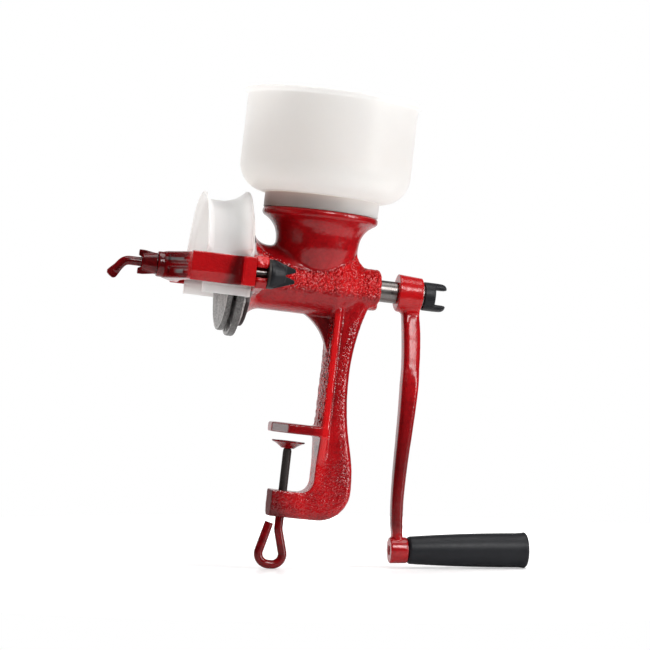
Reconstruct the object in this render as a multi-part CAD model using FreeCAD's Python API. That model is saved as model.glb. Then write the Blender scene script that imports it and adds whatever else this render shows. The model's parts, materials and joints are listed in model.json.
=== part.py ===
import FreeCAD, Part
import math
import os

from FreeCAD import Vector

# Clamp-on hand mill for grain: a helical auger feeds a pair of grinding plates.
# Frame in millimetres: X runs along the shaft towards the crank, Z is up, and the
# origin is on the clamp screw axis at the underside of the upper jaw.

# Layout
SHAFT_HEIGHT = 132.0  # shaft axis above the jaw's underside
MOUTH_X = 5.0  # mouth axis, measured from the clamp screw axis
RUN_FIT = 0.05  # radial clearance of turning and threaded fits
SEAT_GAP = 0.3  # clearance between pieces that only lie beside each other

# Barrel, measured along the shaft from the mouth axis
BODY_FRONT = 62.2  # front face of the barrel ahead of the mouth axis
FLANGE_R = 45.0
FLANGE_T = 4.0
TRUMPET_L = 13.0  # length of the flare behind the flange
TRUMPET_SAG = 4.5
BARREL_R = 28.0
TAPER_X = 20.0  # where the barrel starts to narrow to the rear boss
TAPER_L = 20.0
BOSS_R = 18.0
BOSS_END = 58.0  # rear face of the boss behind the mouth axis
CHAMBER_R = 23.0
CHAMBER_END = 26.0  # rear wall of the auger chamber
RIB_T = 9.0  # rib between the throat and the rear boss
RIB_REACH = 3.0  # rib's end behind the taper

# Mouth, measured up from the shaft axis
THROAT_FOOT_R = 24.0
THROAT_FOOT_Z = 4.0
THROAT_R = 36.5
THROAT_Z = 31.0
MOUTH_WALL = 7.0
LIP_R = 50.5
LIP_ROUND = 1.5
LIP_T = 6.5
LIP_Z = 61.0  # top of the lip, where the hopper stands
FLARE_SAG = 4.6
COLLAR_R = 46.0  # collar that the hopper's neck goes over
COLLAR_T = 4.0
COLLAR_H = 9.0
FUNNEL_FOOT_R = 18.0

# Lugs that hold the yoke
STUD_Y = 72.0  # studs to each side of the shaft axis
STUD_R = 4.0
LUG_T = 10.2
LUG_HALF_H = 13.5
LUG_MARGIN = 9.0  # lug beyond the stud axis
LUG_ROOT_Y = 18.0
LUG_ROOT_HALF_H = 20.0
LUG_CORNER = 5.0
SLOT_W = 9.0

# Leg and C-shaped clamp frame, in the object's frame
LEG_FRONT = 24.0  # front face of the leg and inner wall of the C
LEG_HALF_W = 14.0
LEG_WAIST_X = 45.2  # back edge at the narrowest place
LEG_WAIST_Z = 54.0
LEG_TOP_X = 58.0
LEG_ROUND = 7.0
SWAY_SHARE = 0.36  # where the back edge turns from bulging to hollow, from the heel up
HEEL_X = 58.4
HEEL_R = 28.0
ARM_TOP_Z = -50.0
ARM_T = 23.0
ARM_FRONT = 11.5  # end of the lower arm ahead of the clamp screw
C_CORNER = 11.0
CAP_T = 7.0  # wide front plate of the leg
CAP_TOP_HALF = 19.0
CAP_TOP_Z = 112.0
JAW_T = 8.5
JAW_TIP = 18.0
JAW_HALF_W = 22.5
JAW_CHAMFER = 12.0
FLARE_DROP = 24.0  # height of the flare under the jaw
GUSSET_HALF_T = 6.0
GUSSET_X = 1.0
GUSSET_Z = 60.0
GUSSET_SAG = 7.5

# Hopper, measured up from the shaft axis
HOPPER_WALL = 2.2
NECK_R = 50.0
NECK_H = 13.0
BOWL_R = 74.5
BOWL_TOP = 162.3
BOWL_CORNER = 28.0
RIM_R = 77.5
RIM_T = 2.0

# Grinding plates
REGISTER_R = 47.0  # back of the fixed plate, seated on the barrel
REGISTER_T = 2.8
FIXED_R = 54.5
FIXED_T = 6.0
FIXED_BORE_R = 24.5
GRIND_GAP = 3.2
TURNING_R = 50.5
TURNING_T = 4.8
PLATE_HUB_R = 19.0
PLATE_HUB_L = 7.0
FURROW_COUNT = 24
FURROW_W = 3.2
FURROW_DEPTH = 1.6
FURROW_TILT = 18.0  # degrees from the radius
PLATE_SCREW_COUNT = 3
PLATE_SCREW_R = 2.5
PLATE_SCREW_HEAD_R = 4.8
PLATE_SCREW_CIRCLE = 34.5
PLATE_SCREW_L = 13.0

# Auger shaft and its drive pin
SHAFT_R = 9.5
SHAFT_NOSE = 2.5  # shaft ahead of the turning plate's hub
HUB_FACE = 75.0  # inner face of the crank hub behind the mouth axis
HUB_L = 21.5
TAIL_SIDE = 12.6  # square tail under the crank hub
TAIL_SHORT = 1.5
FLIGHT_R = 22.0
FLIGHT_T = 5.0
FLIGHT_PITCH = 27.0
FLIGHT_TURNS = 2.5
FLIGHT_FRONT = 48.0
PIN_R = 3.0
PIN_L = 34.0
BALL_R = 4.0
BALL_OUT = 1.5  # ball centre ahead of the shaft's end

# Guard over the plates
GUARD_R = 61.0
GUARD_WALL = 2.2
GUARD_L = 41.5
GUARD_DROP = 21.0
GUARD_FRONT_RIM_R = 67.3
GUARD_REAR_RIM_R = 71.0
GUARD_FLARE = 6.5
GUARD_FLARE_SAG = 0.8
GUARD_SWEEP = 22.0  # length of the long flare up to the rear rim
GUARD_SWEEP_SAG = 2.3
GUARD_RIM_IN = 2.8  # rear rim ahead of the guard's back
GUARD_EDGE_T = 1.6
HEM_H = 7.0
HEM_T = 0.7

# Yoke
CHEEK_Y = 64.0
CHEEK_T = 8.0
CHEEK_HALF_H = 12.4
CHEEK_L = 54.0
CHEEK_RIDGE_Z = -3.5  # where the outer face starts to slope inwards, from the shaft axis
CHEEK_SLOPE_Y = 3.5
BLOCK_L = 11.0
BLOCK_Y = 63.8
COVE_L = 8.0  # hollow rise from the cheek to the stud block
COVE_RIM = 0.6
COVE_SINK = 2.0  # overlap with the cheek and the block
YOKE_BOSS_R = 11.0
YOKE_BOSS_FRONT = 137.0  # front face ahead of the mouth axis
YOKE_BOSS_L = 27.0
BAR_HALF_H = 11.6
BAR_END_T = 7.0
BAR_ROOT_T = 17.0
BAR_GROOVE_R = 3.6
BAR_GROOVE_Z = 5.4
GROOVE_START_SHARE = 0.12  # of the bar's length, from the boss
GROOVE_LENGTH_SHARE = 0.8

# Adjusting screw and its lock nut
ADJUST_R = 4.0
LEVER_OUT = 28.0  # bend of the lever ahead of the yoke's boss
LEVER_ANGLE = 52.0
LEVER_L = 11.0
LEVER_BEND_R = 9.0
PADDLE_ROOT_L = 4.0  # paddle's overlap with the rod
PADDLE_ROOT_W = 7.0
PADDLE_L = 8.0
PADDLE_W = 10.5
PADDLE_T = 5.0
LOCK_R = 9.5
LOCK_TIP_R = 7.0
LOCK_L = 13.0
LOCK_WING_T = 5.0
LOCK_WING_L = 16.0
LOCK_WING_H = 10.5

# Wing nuts of the yoke and the wing screw of the crank
WASHER_T = 2.0
NUT_R = 12.5
NUT_FLANGE_T = 3.0
NUT_L = 21.5
NUT_TIP_H = 6.0
NUT_WING_T = 9.0
NUT_HUB_R = 8.0
NUT_HUB_L = 13.0
NUT_NOTCH_L = 9.0
NUT_NOTCH_HALF_H = 3.2
KNOB_R = 12.5
KNOB_BASE_L = 9.5
KNOB_PRONG_L = 11.0
KNOB_PRONG_T = 6.2
KNOB_PRONG_W = 15.0
KNOB_ROUND = 4.0
CRANK_SCREW_R = 4.0
CRANK_SCREW_L = 30.0

# Crank arm, grip and its bolt
HUB_R = 16.6
HUB_REAR_R = 15.3
CRANK_RADIUS = 223.0
ARM_RAKE_X = 9.3  # outward lean of the arm down to the rake's end
ARM_RAKE_Z = 66.0
ARM_KNEE_Z = 125.0
ARM_FOOT_Z = 183.0
ARM_FOOT_X = 11.0  # outward offset of the arm above the lower boss
ARM_TOP_TX = 14.5
ARM_TOP_WY = 18.5
ARM_KNEE_X = 10.2
ARM_KNEE_TX = 11.4
ARM_KNEE_WY = 17.5
ARM_FOOT_TX = 9.3
ARM_FOOT_WY = 15.0
ARM_BEVEL = 2.5
EYE_R = 11.4
EYE_L = 15.5
EYE_X = 16.5  # eye's middle beyond the middle of the hub
GRIP_TILT = 6.0
GRIP_L = 107.0
GRIP_NEAR_R = 12.0
GRIP_FAR_R = 15.8
GRIP_SWELL = 0.8
GRIP_BEVEL = 1.6
GRIP_END_L = 9.0
GRIP_END_R = 15.0
GRIP_BOLT_R = 4.0
GRIP_BOLT_HEAD_R = 7.0
GRIP_BOLT_HEAD_L = 4.5
GRIP_HEAD_RECESS = 7.5
GRIP_BOLT_RECESS = 3.0

# Clamp screw and its swivel pad
CLAMP_R = 4.0
CLAMP_REST = 6.8  # pad below the jaw as the mill is shown
PAD_R = 14.4
PAD_HUB_R = 5.6
PAD_H = 6.5
PAD_EDGE_T = 1.2
PAD_DISH_R = 10.0
PAD_DISH = 0.8
SPIGOT_R = 2.8
SPIGOT_L = 4.0
LOOP_TOP = 84.0  # where the rod starts to lean into the loop, below the jaw
LOOP_BOTTOM = 114.8
LOOP_RIGHT = 9.0
LOOP_LEFT = 17.6
LOOP_BEND_R = 9.0
LOOP_NECK_R = 14.0
LOOP_WIRE_R = 3.8
LOOP_END_X = 8.6
LOOP_END = 78.5

# Derived places along the shaft, measured from the mouth axis
FIXED_BACK = -BODY_FRONT - REGISTER_T
FIXED_FACE = FIXED_BACK - FIXED_T
TURNING_BACK = FIXED_FACE - GRIND_GAP
TURNING_FACE = TURNING_BACK - TURNING_T
PIN_X = TURNING_FACE - PIN_R
SHAFT_FRONT = TURNING_FACE - PLATE_HUB_L - SHAFT_NOSE
BALL_X = SHAFT_FRONT - BALL_OUT
SCREW_TIP = BALL_X - BALL_R - RUN_FIT
GUARD_BACK = FIXED_BACK + SEAT_GAP + GUARD_WALL
GUARD_FRONT = GUARD_BACK - GUARD_L
CHEEK_FRONT = -BODY_FRONT - CHEEK_L
LUG_BACK = -BODY_FRONT + LUG_T
HUB_END = HUB_FACE + HUB_L
HUB_MID = HUB_FACE + HUB_L / 2
LUG_END = STUD_Y + LUG_MARGIN
FORWARD = Vector(1, 0, 0)
SIDEWAYS = Vector(0, 1, 0)
UPWARD = Vector(0, 0, 1)
CENTRE = Vector(0, 0, 0)
QUARTER_LEAN = math.pi / 4  # angle between the chord and the tangent of a quarter circle


def xz(u, v):
    return Vector(u, 0, v)


def xy(u, v):
    return Vector(u, v, 0)


def yz(u, v):
    return Vector(0, u, v)


def bowed(start, end, sag):
    """Arc step to end, bowed to the left of the way there by sag."""
    run = math.hypot(end[0] - start[0], end[1] - start[1])
    left = (-(end[1] - start[1]) / run, (end[0] - start[0]) / run)
    middle = [(a + b) / 2 + sag * n for a, b, n in zip(start, end, left)]
    return tuple(middle), end


def face(plane, start, *steps):
    """Flat face whose outline takes a line to each point and an arc to each (through, end) pair."""
    edges = []
    here = plane(*start)
    for step in steps + (start,):
        if isinstance(step[0], tuple):
            through, end = [plane(*p) for p in step]
            edges.append(Part.Arc(here, through, end).toShape())
        else:
            end = plane(*step)
            edges.append(Part.makeLine(here, end))
        here = end
    return Part.Face(Part.Wire(edges))


def moved(shape, *offset):
    copy = shape.copy()
    copy.translate(Vector(*offset))
    return copy


def on_shaft(shape):
    """Shape drawn about the mouth axis and shaft axis, put in its place."""
    return moved(shape, MOUTH_X, 0, SHAFT_HEIGHT)


def far_side(shape):
    return shape.mirror(CENTRE, SIDEWAYS)


def turned_x(start, *steps):
    """Solid of revolution about the shaft axis from an (x, radius) outline."""
    return face(xz, start, *steps).revolve(CENTRE, FORWARD, 360)


def turned_z(start, *steps):
    """Solid of revolution about the upright axis from a (radius, z) outline."""
    return face(xz, start, *steps).revolve(CENTRE, UPWARD, 360)


def rod_x(radius, x_from, x_to, y=0.0, z=0.0):
    return Part.makeCylinder(radius, x_to - x_from, Vector(x_from, y, z), FORWARD)


def block(x0, x1, y0, y1, z0, z1):
    return Part.makeBox(x1 - x0, y1 - y0, z1 - z0, Vector(x0, y0, z0))


def slab_y(outline, half_width):
    """Outline in the XZ plane, thickened evenly to both sides."""
    return moved(outline, 0, -half_width, 0).extrude(SIDEWAYS * 2 * half_width)


def round_bar(points, radii, bar_r):
    """Round bar along straight runs in the XZ plane, joined by tangent arcs at the inner points."""
    places = [xz(*p) for p in points]
    edges = []
    here = places[0]
    for corner, before, after, radius in zip(places[1:-1], places, places[2:], radii):
        back = (before - corner).normalize()
        ahead = (after - corner).normalize()
        half = back.getAngle(ahead) / 2
        to_touch = radius / math.tan(half)
        inward = (back + ahead).normalize()
        through = corner + inward * (radius / math.sin(half) - radius)
        end = corner + ahead * to_touch
        edges.append(Part.makeLine(here, corner + back * to_touch))
        edges.append(Part.Arc(corner + back * to_touch, through, end).toShape())
        here = end
    edges.append(Part.makeLine(here, places[-1]))
    start_way = places[1] - places[0]
    section = Part.Wire(Part.makeCircle(bar_r, places[0], start_way))
    return Part.Wire(edges).makePipeShell([section], True, False)


def furrows(face_x, way, inner_r, outer_r):
    """Slanting radial cutters that sink into a plate's face and stop short of its rim."""
    cutter = block(-FURROW_DEPTH, FURROW_DEPTH, -FURROW_W / 2, FURROW_W / 2, inner_r, outer_r - FURROW_W)
    slanted = cutter.copy()
    slanted.rotate(Vector(0, 0, inner_r), FORWARD, way * FURROW_TILT)
    cutters = []
    for index in range(FURROW_COUNT):
        one = slanted.copy()
        one.rotate(CENTRE, FORWARD, index * 360 / FURROW_COUNT)
        cutters.append(moved(one, face_x, 0, 0))
    return cutters


def plate_screw_places():
    for index in range(PLATE_SCREW_COUNT):
        angle = math.radians(90 + index * 360 / PLATE_SCREW_COUNT)
        yield PLATE_SCREW_CIRCLE * math.cos(angle), PLATE_SCREW_CIRCLE * math.sin(angle)


# Cast body


def barrel():
    trumpet = (-BODY_FRONT + FLANGE_T, FLANGE_R)
    neck = (trumpet[0] + TRUMPET_L, BARREL_R)
    return turned_x(
        (-BODY_FRONT, 0),
        (-BODY_FRONT, FLANGE_R),
        trumpet,
        bowed(trumpet, neck, -TRUMPET_SAG),
        (TAPER_X, BARREL_R),
        (TAPER_X + TAPER_L, BOSS_R),
        (BOSS_END, BOSS_R),
        (BOSS_END, 0),
    )


def mouth():
    throat = (THROAT_R, THROAT_Z)
    under_lip = (LIP_R - LIP_ROUND, LIP_Z - LIP_T)
    return turned_z(
        (0, 0),
        (THROAT_FOOT_R, THROAT_FOOT_Z),
        throat,
        bowed(throat, under_lip, FLARE_SAG),
        (LIP_R, LIP_Z - LIP_T + LIP_ROUND),
        (LIP_R, LIP_Z - LIP_ROUND),
        (LIP_R - LIP_ROUND, LIP_Z),
        (COLLAR_R, LIP_Z),
        (COLLAR_R, LIP_Z + COLLAR_H),
        (0, LIP_Z + COLLAR_H),
    )


def funnel():
    throat = (THROAT_R - MOUTH_WALL, THROAT_Z)
    top = (COLLAR_R - COLLAR_T, LIP_Z)
    above = LIP_Z + COLLAR_H + COLLAR_T
    return turned_z(
        (0, 0),
        (FUNNEL_FOOT_R, 0),
        throat,
        bowed(throat, top, FLARE_SAG),
        (top[0], above),
        (0, above),
    )


def auger_chamber():
    bearing_r = SHAFT_R + RUN_FIT
    outside = BOSS_END + BOSS_R
    return turned_x(
        (-BODY_FRONT - FLANGE_T, 0),
        (-BODY_FRONT - FLANGE_T, CHAMBER_R),
        (CHAMBER_END, CHAMBER_R),
        (CHAMBER_END, bearing_r),
        (outside, bearing_r),
        (outside, 0),
    )


def rear_rib():
    """Rib from the throat down to the rear boss, its foot inside the boss."""
    inside_x = THROAT_R - MOUTH_WALL / 2
    foot_z = (SHAFT_R + BOSS_R) / 2
    outline = face(
        xz,
        (inside_x, foot_z),
        (inside_x, THROAT_Z),
        (THROAT_R - LIP_ROUND, THROAT_Z),
        (TAPER_X + TAPER_L + RIB_REACH, BOSS_R),
        (TAPER_X + TAPER_L + RIB_REACH, foot_z),
    )
    return slab_y(outline, RIB_T / 2)


def lug():
    shape = face(
        yz,
        (-LUG_ROOT_Y, -LUG_ROOT_HALF_H),
        (-BLOCK_Y, -LUG_HALF_H),
        (-LUG_END + LUG_CORNER, -LUG_HALF_H),
        (-LUG_END, -LUG_HALF_H + LUG_CORNER),
        (-LUG_END, LUG_HALF_H - LUG_CORNER),
        (-LUG_END + LUG_CORNER, LUG_HALF_H),
        (-BLOCK_Y, LUG_HALF_H),
        (-LUG_ROOT_Y, LUG_ROOT_HALF_H),
    )
    plate = moved(shape.extrude(FORWARD * LUG_T), -BODY_FRONT, 0, 0)
    slot = block(-BODY_FRONT, LUG_BACK, -LUG_END, -STUD_Y, -SLOT_W / 2, SLOT_W / 2)
    return plate.cut([slot, rod_x(SLOT_W / 2, -BODY_FRONT, LUG_BACK, -STUD_Y)])


def tangent_arc(start, end, lean, way):
    """Arc step whose tangent at one end makes the angle lean with the straight way to end."""
    run = math.hypot(end[0] - start[0], end[1] - start[1])
    return bowed(start, end, way * run / 2 * math.tan(lean / 2))


def clamp_frame():
    """Leg and lower arm in one outline, rounded along the back edges of both flanks."""
    bottom = ARM_TOP_Z - ARM_T
    heel_foot = (HEEL_X - HEEL_R, bottom)
    heel = (HEEL_X, bottom + HEEL_R)
    waist = (LEG_WAIST_X, LEG_WAIST_Z)
    sway = tuple(h + SWAY_SHARE * (w - h) for h, w in zip(heel, waist))
    sway_lean = math.atan2(heel[0] - waist[0], waist[1] - heel[1])
    top = (LEG_TOP_X, SHAFT_HEIGHT - SHAFT_R)
    top_lean = math.atan2(top[0] - waist[0], top[1] - waist[1])
    corner_from = (LEG_FRONT, ARM_TOP_Z + C_CORNER)
    corner_to = (LEG_FRONT - C_CORNER, ARM_TOP_Z)
    outline = face(
        xz,
        (LEG_FRONT, top[1]),
        corner_from,
        tangent_arc(corner_from, corner_to, QUARTER_LEAN, 1),
        (-ARM_FRONT, ARM_TOP_Z),
        (-ARM_FRONT, bottom),
        heel_foot,
        tangent_arc(heel_foot, heel, QUARTER_LEAN, -1),
        tangent_arc(heel, sway, sway_lean, -1),
        tangent_arc(sway, waist, sway_lean, 1),
        tangent_arc(waist, top, top_lean, 1),
    )
    frame = slab_y(outline, LEG_HALF_W)
    back_edges = []
    for edge in frame.Edges:
        middle = edge.CenterOfMass
        on_flank = abs(abs(middle.y) - LEG_HALF_W) < RUN_FIT
        on_back = middle.x > LEG_WAIST_X - LEG_ROUND or abs(middle.z - bottom) < RUN_FIT
        if on_flank and on_back:
            back_edges.append(edge)
    return frame.makeFillet(LEG_ROUND, back_edges)


def front_cap():
    """Wide plate down the front of the leg, as broad as the jaw at its foot."""
    outline = face(
        yz,
        (-CAP_TOP_HALF, CAP_TOP_Z),
        (-JAW_HALF_W, 0),
        (-LEG_HALF_W, -FLARE_DROP),
        (LEG_HALF_W, -FLARE_DROP),
        (JAW_HALF_W, 0),
        (CAP_TOP_HALF, CAP_TOP_Z),
    )
    return moved(outline.extrude(FORWARD * CAP_T), LEG_FRONT, 0, 0)


def jaw():
    outline = face(
        xy,
        (-JAW_TIP, -JAW_HALF_W + JAW_CHAMFER),
        (-JAW_TIP + JAW_CHAMFER, -JAW_HALF_W),
        (LEG_FRONT + CAP_T, -JAW_HALF_W),
        (LEG_FRONT + CAP_T, JAW_HALF_W),
        (-JAW_TIP + JAW_CHAMFER, JAW_HALF_W),
        (-JAW_TIP, JAW_HALF_W - JAW_CHAMFER),
    )
    return outline.extrude(UPWARD * JAW_T)


def gusset():
    under_barrel = (GUSSET_X, SHAFT_HEIGHT - BARREL_R)
    foot = (LEG_FRONT, GUSSET_Z)
    inside_x = LEG_FRONT + CAP_T
    high = SHAFT_HEIGHT - CHAMBER_R
    outline = face(
        xz,
        under_barrel,
        bowed(under_barrel, foot, GUSSET_SAG),
        (inside_x, GUSSET_Z),
        (inside_x, high),
        (GUSSET_X, high),
    )
    return slab_y(outline, GUSSET_HALF_T)


def body_casting():
    near_lug = lug()
    upper = [on_shaft(piece) for piece in (mouth(), rear_rib(), near_lug, far_side(near_lug))]
    casting = on_shaft(barrel()).fuse(upper + [clamp_frame(), front_cap(), jaw(), gusset()])
    clamp_bore = Part.makeCylinder(CLAMP_R + RUN_FIT, ARM_T, Vector(0, 0, ARM_TOP_Z - ARM_T), UPWARD)
    hollows = [on_shaft(funnel()), on_shaft(auger_chamber()), clamp_bore]
    for y, z in plate_screw_places():
        hollows.append(on_shaft(rod_x(PLATE_SCREW_R, -BODY_FRONT, FIXED_FACE + PLATE_SCREW_L, y, z)))
    return casting.cut(hollows).removeSplitter()


# Hopper


def hopper():
    floor_z = LIP_Z + NECK_H
    socket_top = LIP_Z + COLLAR_H + SEAT_GAP
    socket_r = COLLAR_R + SEAT_GAP
    hole_r = COLLAR_R - COLLAR_T
    inner_r = BOWL_R - HOPPER_WALL
    corner_in = BOWL_CORNER - HOPPER_WALL
    sag = 1 - math.sqrt(0.5)
    high_out = (BOWL_R, floor_z + BOWL_CORNER)
    low_in = (inner_r - corner_in, floor_z + HOPPER_WALL)
    high_in = (inner_r, floor_z + BOWL_CORNER)
    shell = turned_z(
        (socket_r, LIP_Z),
        (NECK_R, LIP_Z),
        (NECK_R, floor_z),
        bowed((NECK_R, floor_z), high_out, -BOWL_CORNER * sag),
        (BOWL_R, BOWL_TOP - RIM_T - (RIM_R - BOWL_R)),
        (RIM_R, BOWL_TOP - RIM_T),
        (RIM_R, BOWL_TOP),
        (RIM_R - HOPPER_WALL, BOWL_TOP),
        (inner_r, BOWL_TOP - RIM_T - (RIM_R - BOWL_R)),
        high_in,
        bowed(high_in, low_in, corner_in * sag),
        (hole_r, floor_z + HOPPER_WALL),
        (hole_r, socket_top),
        (socket_r, socket_top),
    )
    return on_shaft(shell)


# Grinding plates, drive and thrust pieces


def stationary_plate():
    plate = turned_x(
        (-BODY_FRONT, FIXED_BORE_R),
        (-BODY_FRONT, REGISTER_R),
        (FIXED_BACK, REGISTER_R),
        (FIXED_BACK, FIXED_R),
        (FIXED_FACE, FIXED_R),
        (FIXED_FACE, FIXED_BORE_R),
    )
    cutters = furrows(FIXED_FACE, 1, FIXED_BORE_R + FURROW_W, FIXED_R)
    for y, z in plate_screw_places():
        cutters.append(rod_x(PLATE_SCREW_R, FIXED_FACE, -BODY_FRONT, y, z))
        sunk = FIXED_FACE + 2 * PLATE_SCREW_R
        cutters.append(rod_x(PLATE_SCREW_HEAD_R + SEAT_GAP, FIXED_FACE, sunk, y, z))
    return on_shaft(plate.cut(cutters))


def plate_screws():
    screws = []
    for y, z in plate_screw_places():
        seat = FIXED_FACE + 2 * PLATE_SCREW_R
        head = rod_x(PLATE_SCREW_HEAD_R, seat - PLATE_SCREW_R, seat, y, z)
        screws.append(on_shaft(head.fuse(rod_x(PLATE_SCREW_R, seat, FIXED_FACE + PLATE_SCREW_L, y, z))))
    return Part.makeCompound(screws)


def rotating_plate():
    hub_front = TURNING_FACE - PLATE_HUB_L
    bore_r = SHAFT_R + RUN_FIT
    plate = turned_x(
        (TURNING_BACK, bore_r),
        (TURNING_BACK, TURNING_R),
        (TURNING_FACE, TURNING_R),
        (TURNING_FACE, PLATE_HUB_R),
        (hub_front, PLATE_HUB_R),
        (hub_front, bore_r),
    )
    pin_slot = block(hub_front, TURNING_FACE, -PLATE_HUB_R, PLATE_HUB_R, -PIN_R, PIN_R)
    return on_shaft(plate.cut([pin_slot] + furrows(TURNING_BACK, -1, FIXED_BORE_R + FURROW_W, TURNING_R)))


def auger_shaft():
    core = rod_x(SHAFT_R, SHAFT_FRONT, HUB_FACE)
    tail_end = HUB_END - TAIL_SHORT
    side = TAIL_SIDE / 2
    tail = block(HUB_FACE, tail_end, -side, side, -side, side)
    length = FLIGHT_PITCH * FLIGHT_TURNS
    helix = Part.makeHelix(FLIGHT_PITCH, length, SHAFT_R)
    inner = SHAFT_R - FLIGHT_T / 2
    section = Part.makePolygon(
        [
            xz(inner, -FLIGHT_T / 2),
            xz(FLIGHT_R, -FLIGHT_T / 4),
            xz(FLIGHT_R, FLIGHT_T / 4),
            xz(inner, FLIGHT_T / 2),
            xz(inner, -FLIGHT_T / 2),
        ]
    )
    flight = Part.Wire(helix).makePipeShell([section], True, True)
    flight.rotate(CENTRE, SIDEWAYS, 90)
    shaft = core.fuse([tail, moved(flight, -FLIGHT_FRONT, 0, 0)])
    pin_hole = Part.makeCylinder(PIN_R, 2 * SHAFT_R, Vector(PIN_X, -SHAFT_R, 0), SIDEWAYS)
    cup = Part.makeSphere(BALL_R + RUN_FIT, Vector(BALL_X, 0, 0))
    tapped = rod_x(CRANK_SCREW_R, HUB_END - CRANK_SCREW_L, tail_end)
    return on_shaft(shaft.cut([pin_hole, cup, tapped]))


def drive_pin():
    return on_shaft(Part.makeCylinder(PIN_R, PIN_L, Vector(PIN_X, -PIN_L / 2, 0), SIDEWAYS))


def thrust_ball():
    return on_shaft(Part.makeSphere(BALL_R, Vector(BALL_X, 0, 0)))


# Guard


def arch(radius, drop):
    """Half circle over straight sides that reach down by drop."""
    return face(yz, (radius, -drop), (radius, 0), ((0, radius), (-radius, 0)), (-radius, -drop))


def rim_flare(edge_x, way, rim_r, length, sag):
    """Flared rim at one end of the guard, kept above the yoke's cheeks."""
    inner_r = GUARD_R - GUARD_WALL
    rim = (edge_x, rim_r)
    back = (edge_x + way * GUARD_EDGE_T, rim_r)
    foot = (edge_x + way * length, GUARD_R)
    flare = turned_x(
        (edge_x, inner_r),
        rim,
        back,
        bowed(back, foot, -way * sag),
        (foot[0], inner_r),
    )
    return flare.common(block(GUARD_FRONT, GUARD_BACK, -rim_r, rim_r, CHEEK_HALF_H + SEAT_GAP, rim_r))


def plate_guard():
    outer = moved(arch(GUARD_R, GUARD_DROP), GUARD_FRONT, 0, 0).extrude(FORWARD * GUARD_L)
    hem = moved(arch(GUARD_R + HEM_T, GUARD_DROP), GUARD_FRONT, 0, 0).extrude(FORWARD * GUARD_L)
    reach = GUARD_R + HEM_T
    band = block(GUARD_FRONT, GUARD_BACK, -reach, reach, -GUARD_DROP, HEM_H - GUARD_DROP)
    rims = [
        rim_flare(GUARD_FRONT, 1, GUARD_FRONT_RIM_R, GUARD_FLARE, GUARD_FLARE_SAG),
        rim_flare(GUARD_BACK - GUARD_RIM_IN, -1, GUARD_REAR_RIM_R, GUARD_SWEEP, GUARD_SWEEP_SAG),
    ]
    hollow_l = GUARD_L - GUARD_WALL
    hollow = moved(arch(GUARD_R - GUARD_WALL, GUARD_DROP), GUARD_FRONT, 0, 0).extrude(FORWARD * hollow_l)
    collar = rod_x(REGISTER_R + SEAT_GAP, GUARD_FRONT, GUARD_BACK)
    below = block(GUARD_FRONT, GUARD_BACK, -REGISTER_R, REGISTER_R, -GUARD_DROP, 0)
    return on_shaft(outer.fuse([hem.common(band)] + rims).cut([hollow, collar, below]).removeSplitter())


# Yoke with its studs, washers and wing nuts


def cove_wire(z, face_y):
    """Section at height z of the hollow rise from a cheek's outer face to the stud block."""
    corner = -BODY_FRONT - BLOCK_L
    start = (corner - COVE_L, face_y)
    end = (corner, COVE_RIM - LUG_END)
    sunk_y = -CHEEK_Y - COVE_SINK
    outline = face(
        xy,
        (corner + COVE_SINK, sunk_y),
        (start[0], sunk_y),
        start,
        tangent_arc(start, end, QUARTER_LEAN, 1),
        (corner + COVE_SINK, end[1]),
    )
    return moved(outline, 0, 0, z).OuterWire


def yoke_side():
    """Cheek, stud block and grooved front bar of the near side."""
    outside = -CHEEK_Y - CHEEK_T
    cheek = face(
        yz,
        (-CHEEK_Y, -CHEEK_HALF_H),
        (outside + CHEEK_SLOPE_Y, -CHEEK_HALF_H),
        (outside, CHEEK_RIDGE_Z),
        (outside, CHEEK_HALF_H),
        (-CHEEK_Y, CHEEK_HALF_H),
    )
    cheek = moved(cheek.extrude(FORWARD * CHEEK_L), CHEEK_FRONT, 0, 0)
    end_block = block(-BODY_FRONT - BLOCK_L, -BODY_FRONT, -LUG_END, -BLOCK_Y, -CHEEK_HALF_H, CHEEK_HALF_H)
    cove_heights = (
        (CHEEK_HALF_H, outside),
        (CHEEK_RIDGE_Z, outside),
        (-CHEEK_HALF_H, outside + CHEEK_SLOPE_Y),
    )
    cove = Part.makeLoft([cove_wire(*height) for height in cove_heights], True, True)
    bar_back = CHEEK_FRONT + BAR_END_T
    boss_front = -YOKE_BOSS_FRONT + YOKE_BOSS_R / 2
    root_y = YOKE_BOSS_R / 2
    bar = face(
        xy,
        (boss_front, 0),
        (boss_front + BAR_ROOT_T, 0),
        (boss_front + BAR_ROOT_T, -root_y),
        (bar_back, -CHEEK_Y),
        (CHEEK_FRONT, -CHEEK_Y),
        (boss_front, -root_y),
    )
    bar = moved(bar.extrude(UPWARD * 2 * BAR_HALF_H), 0, 0, -BAR_HALF_H)
    run = Vector(CHEEK_FRONT - boss_front, root_y - CHEEK_Y, 0)
    groove_start = Vector(boss_front, -root_y, 0) + run * GROOVE_START_SHARE
    groove_l = run.Length * GROOVE_LENGTH_SHARE
    grooves = [
        Part.makeCylinder(BAR_GROOVE_R, groove_l, groove_start + UPWARD * z, run)
        for z in (-BAR_GROOVE_Z, BAR_GROOVE_Z)
    ]
    stud_bore = rod_x(STUD_R, -BODY_FRONT - BLOCK_L, -BODY_FRONT, -STUD_Y)
    return cheek.fuse([end_block, cove, bar.cut(grooves)]).cut(stud_bore)


def yoke():
    boss = rod_x(YOKE_BOSS_R, -YOKE_BOSS_FRONT, -YOKE_BOSS_FRONT + YOKE_BOSS_L)
    near = yoke_side()
    bore = rod_x(ADJUST_R + RUN_FIT, -YOKE_BOSS_FRONT, -YOKE_BOSS_FRONT + YOKE_BOSS_L)
    return on_shaft(near.fuse([far_side(near), boss]).cut(bore).removeSplitter())


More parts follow.
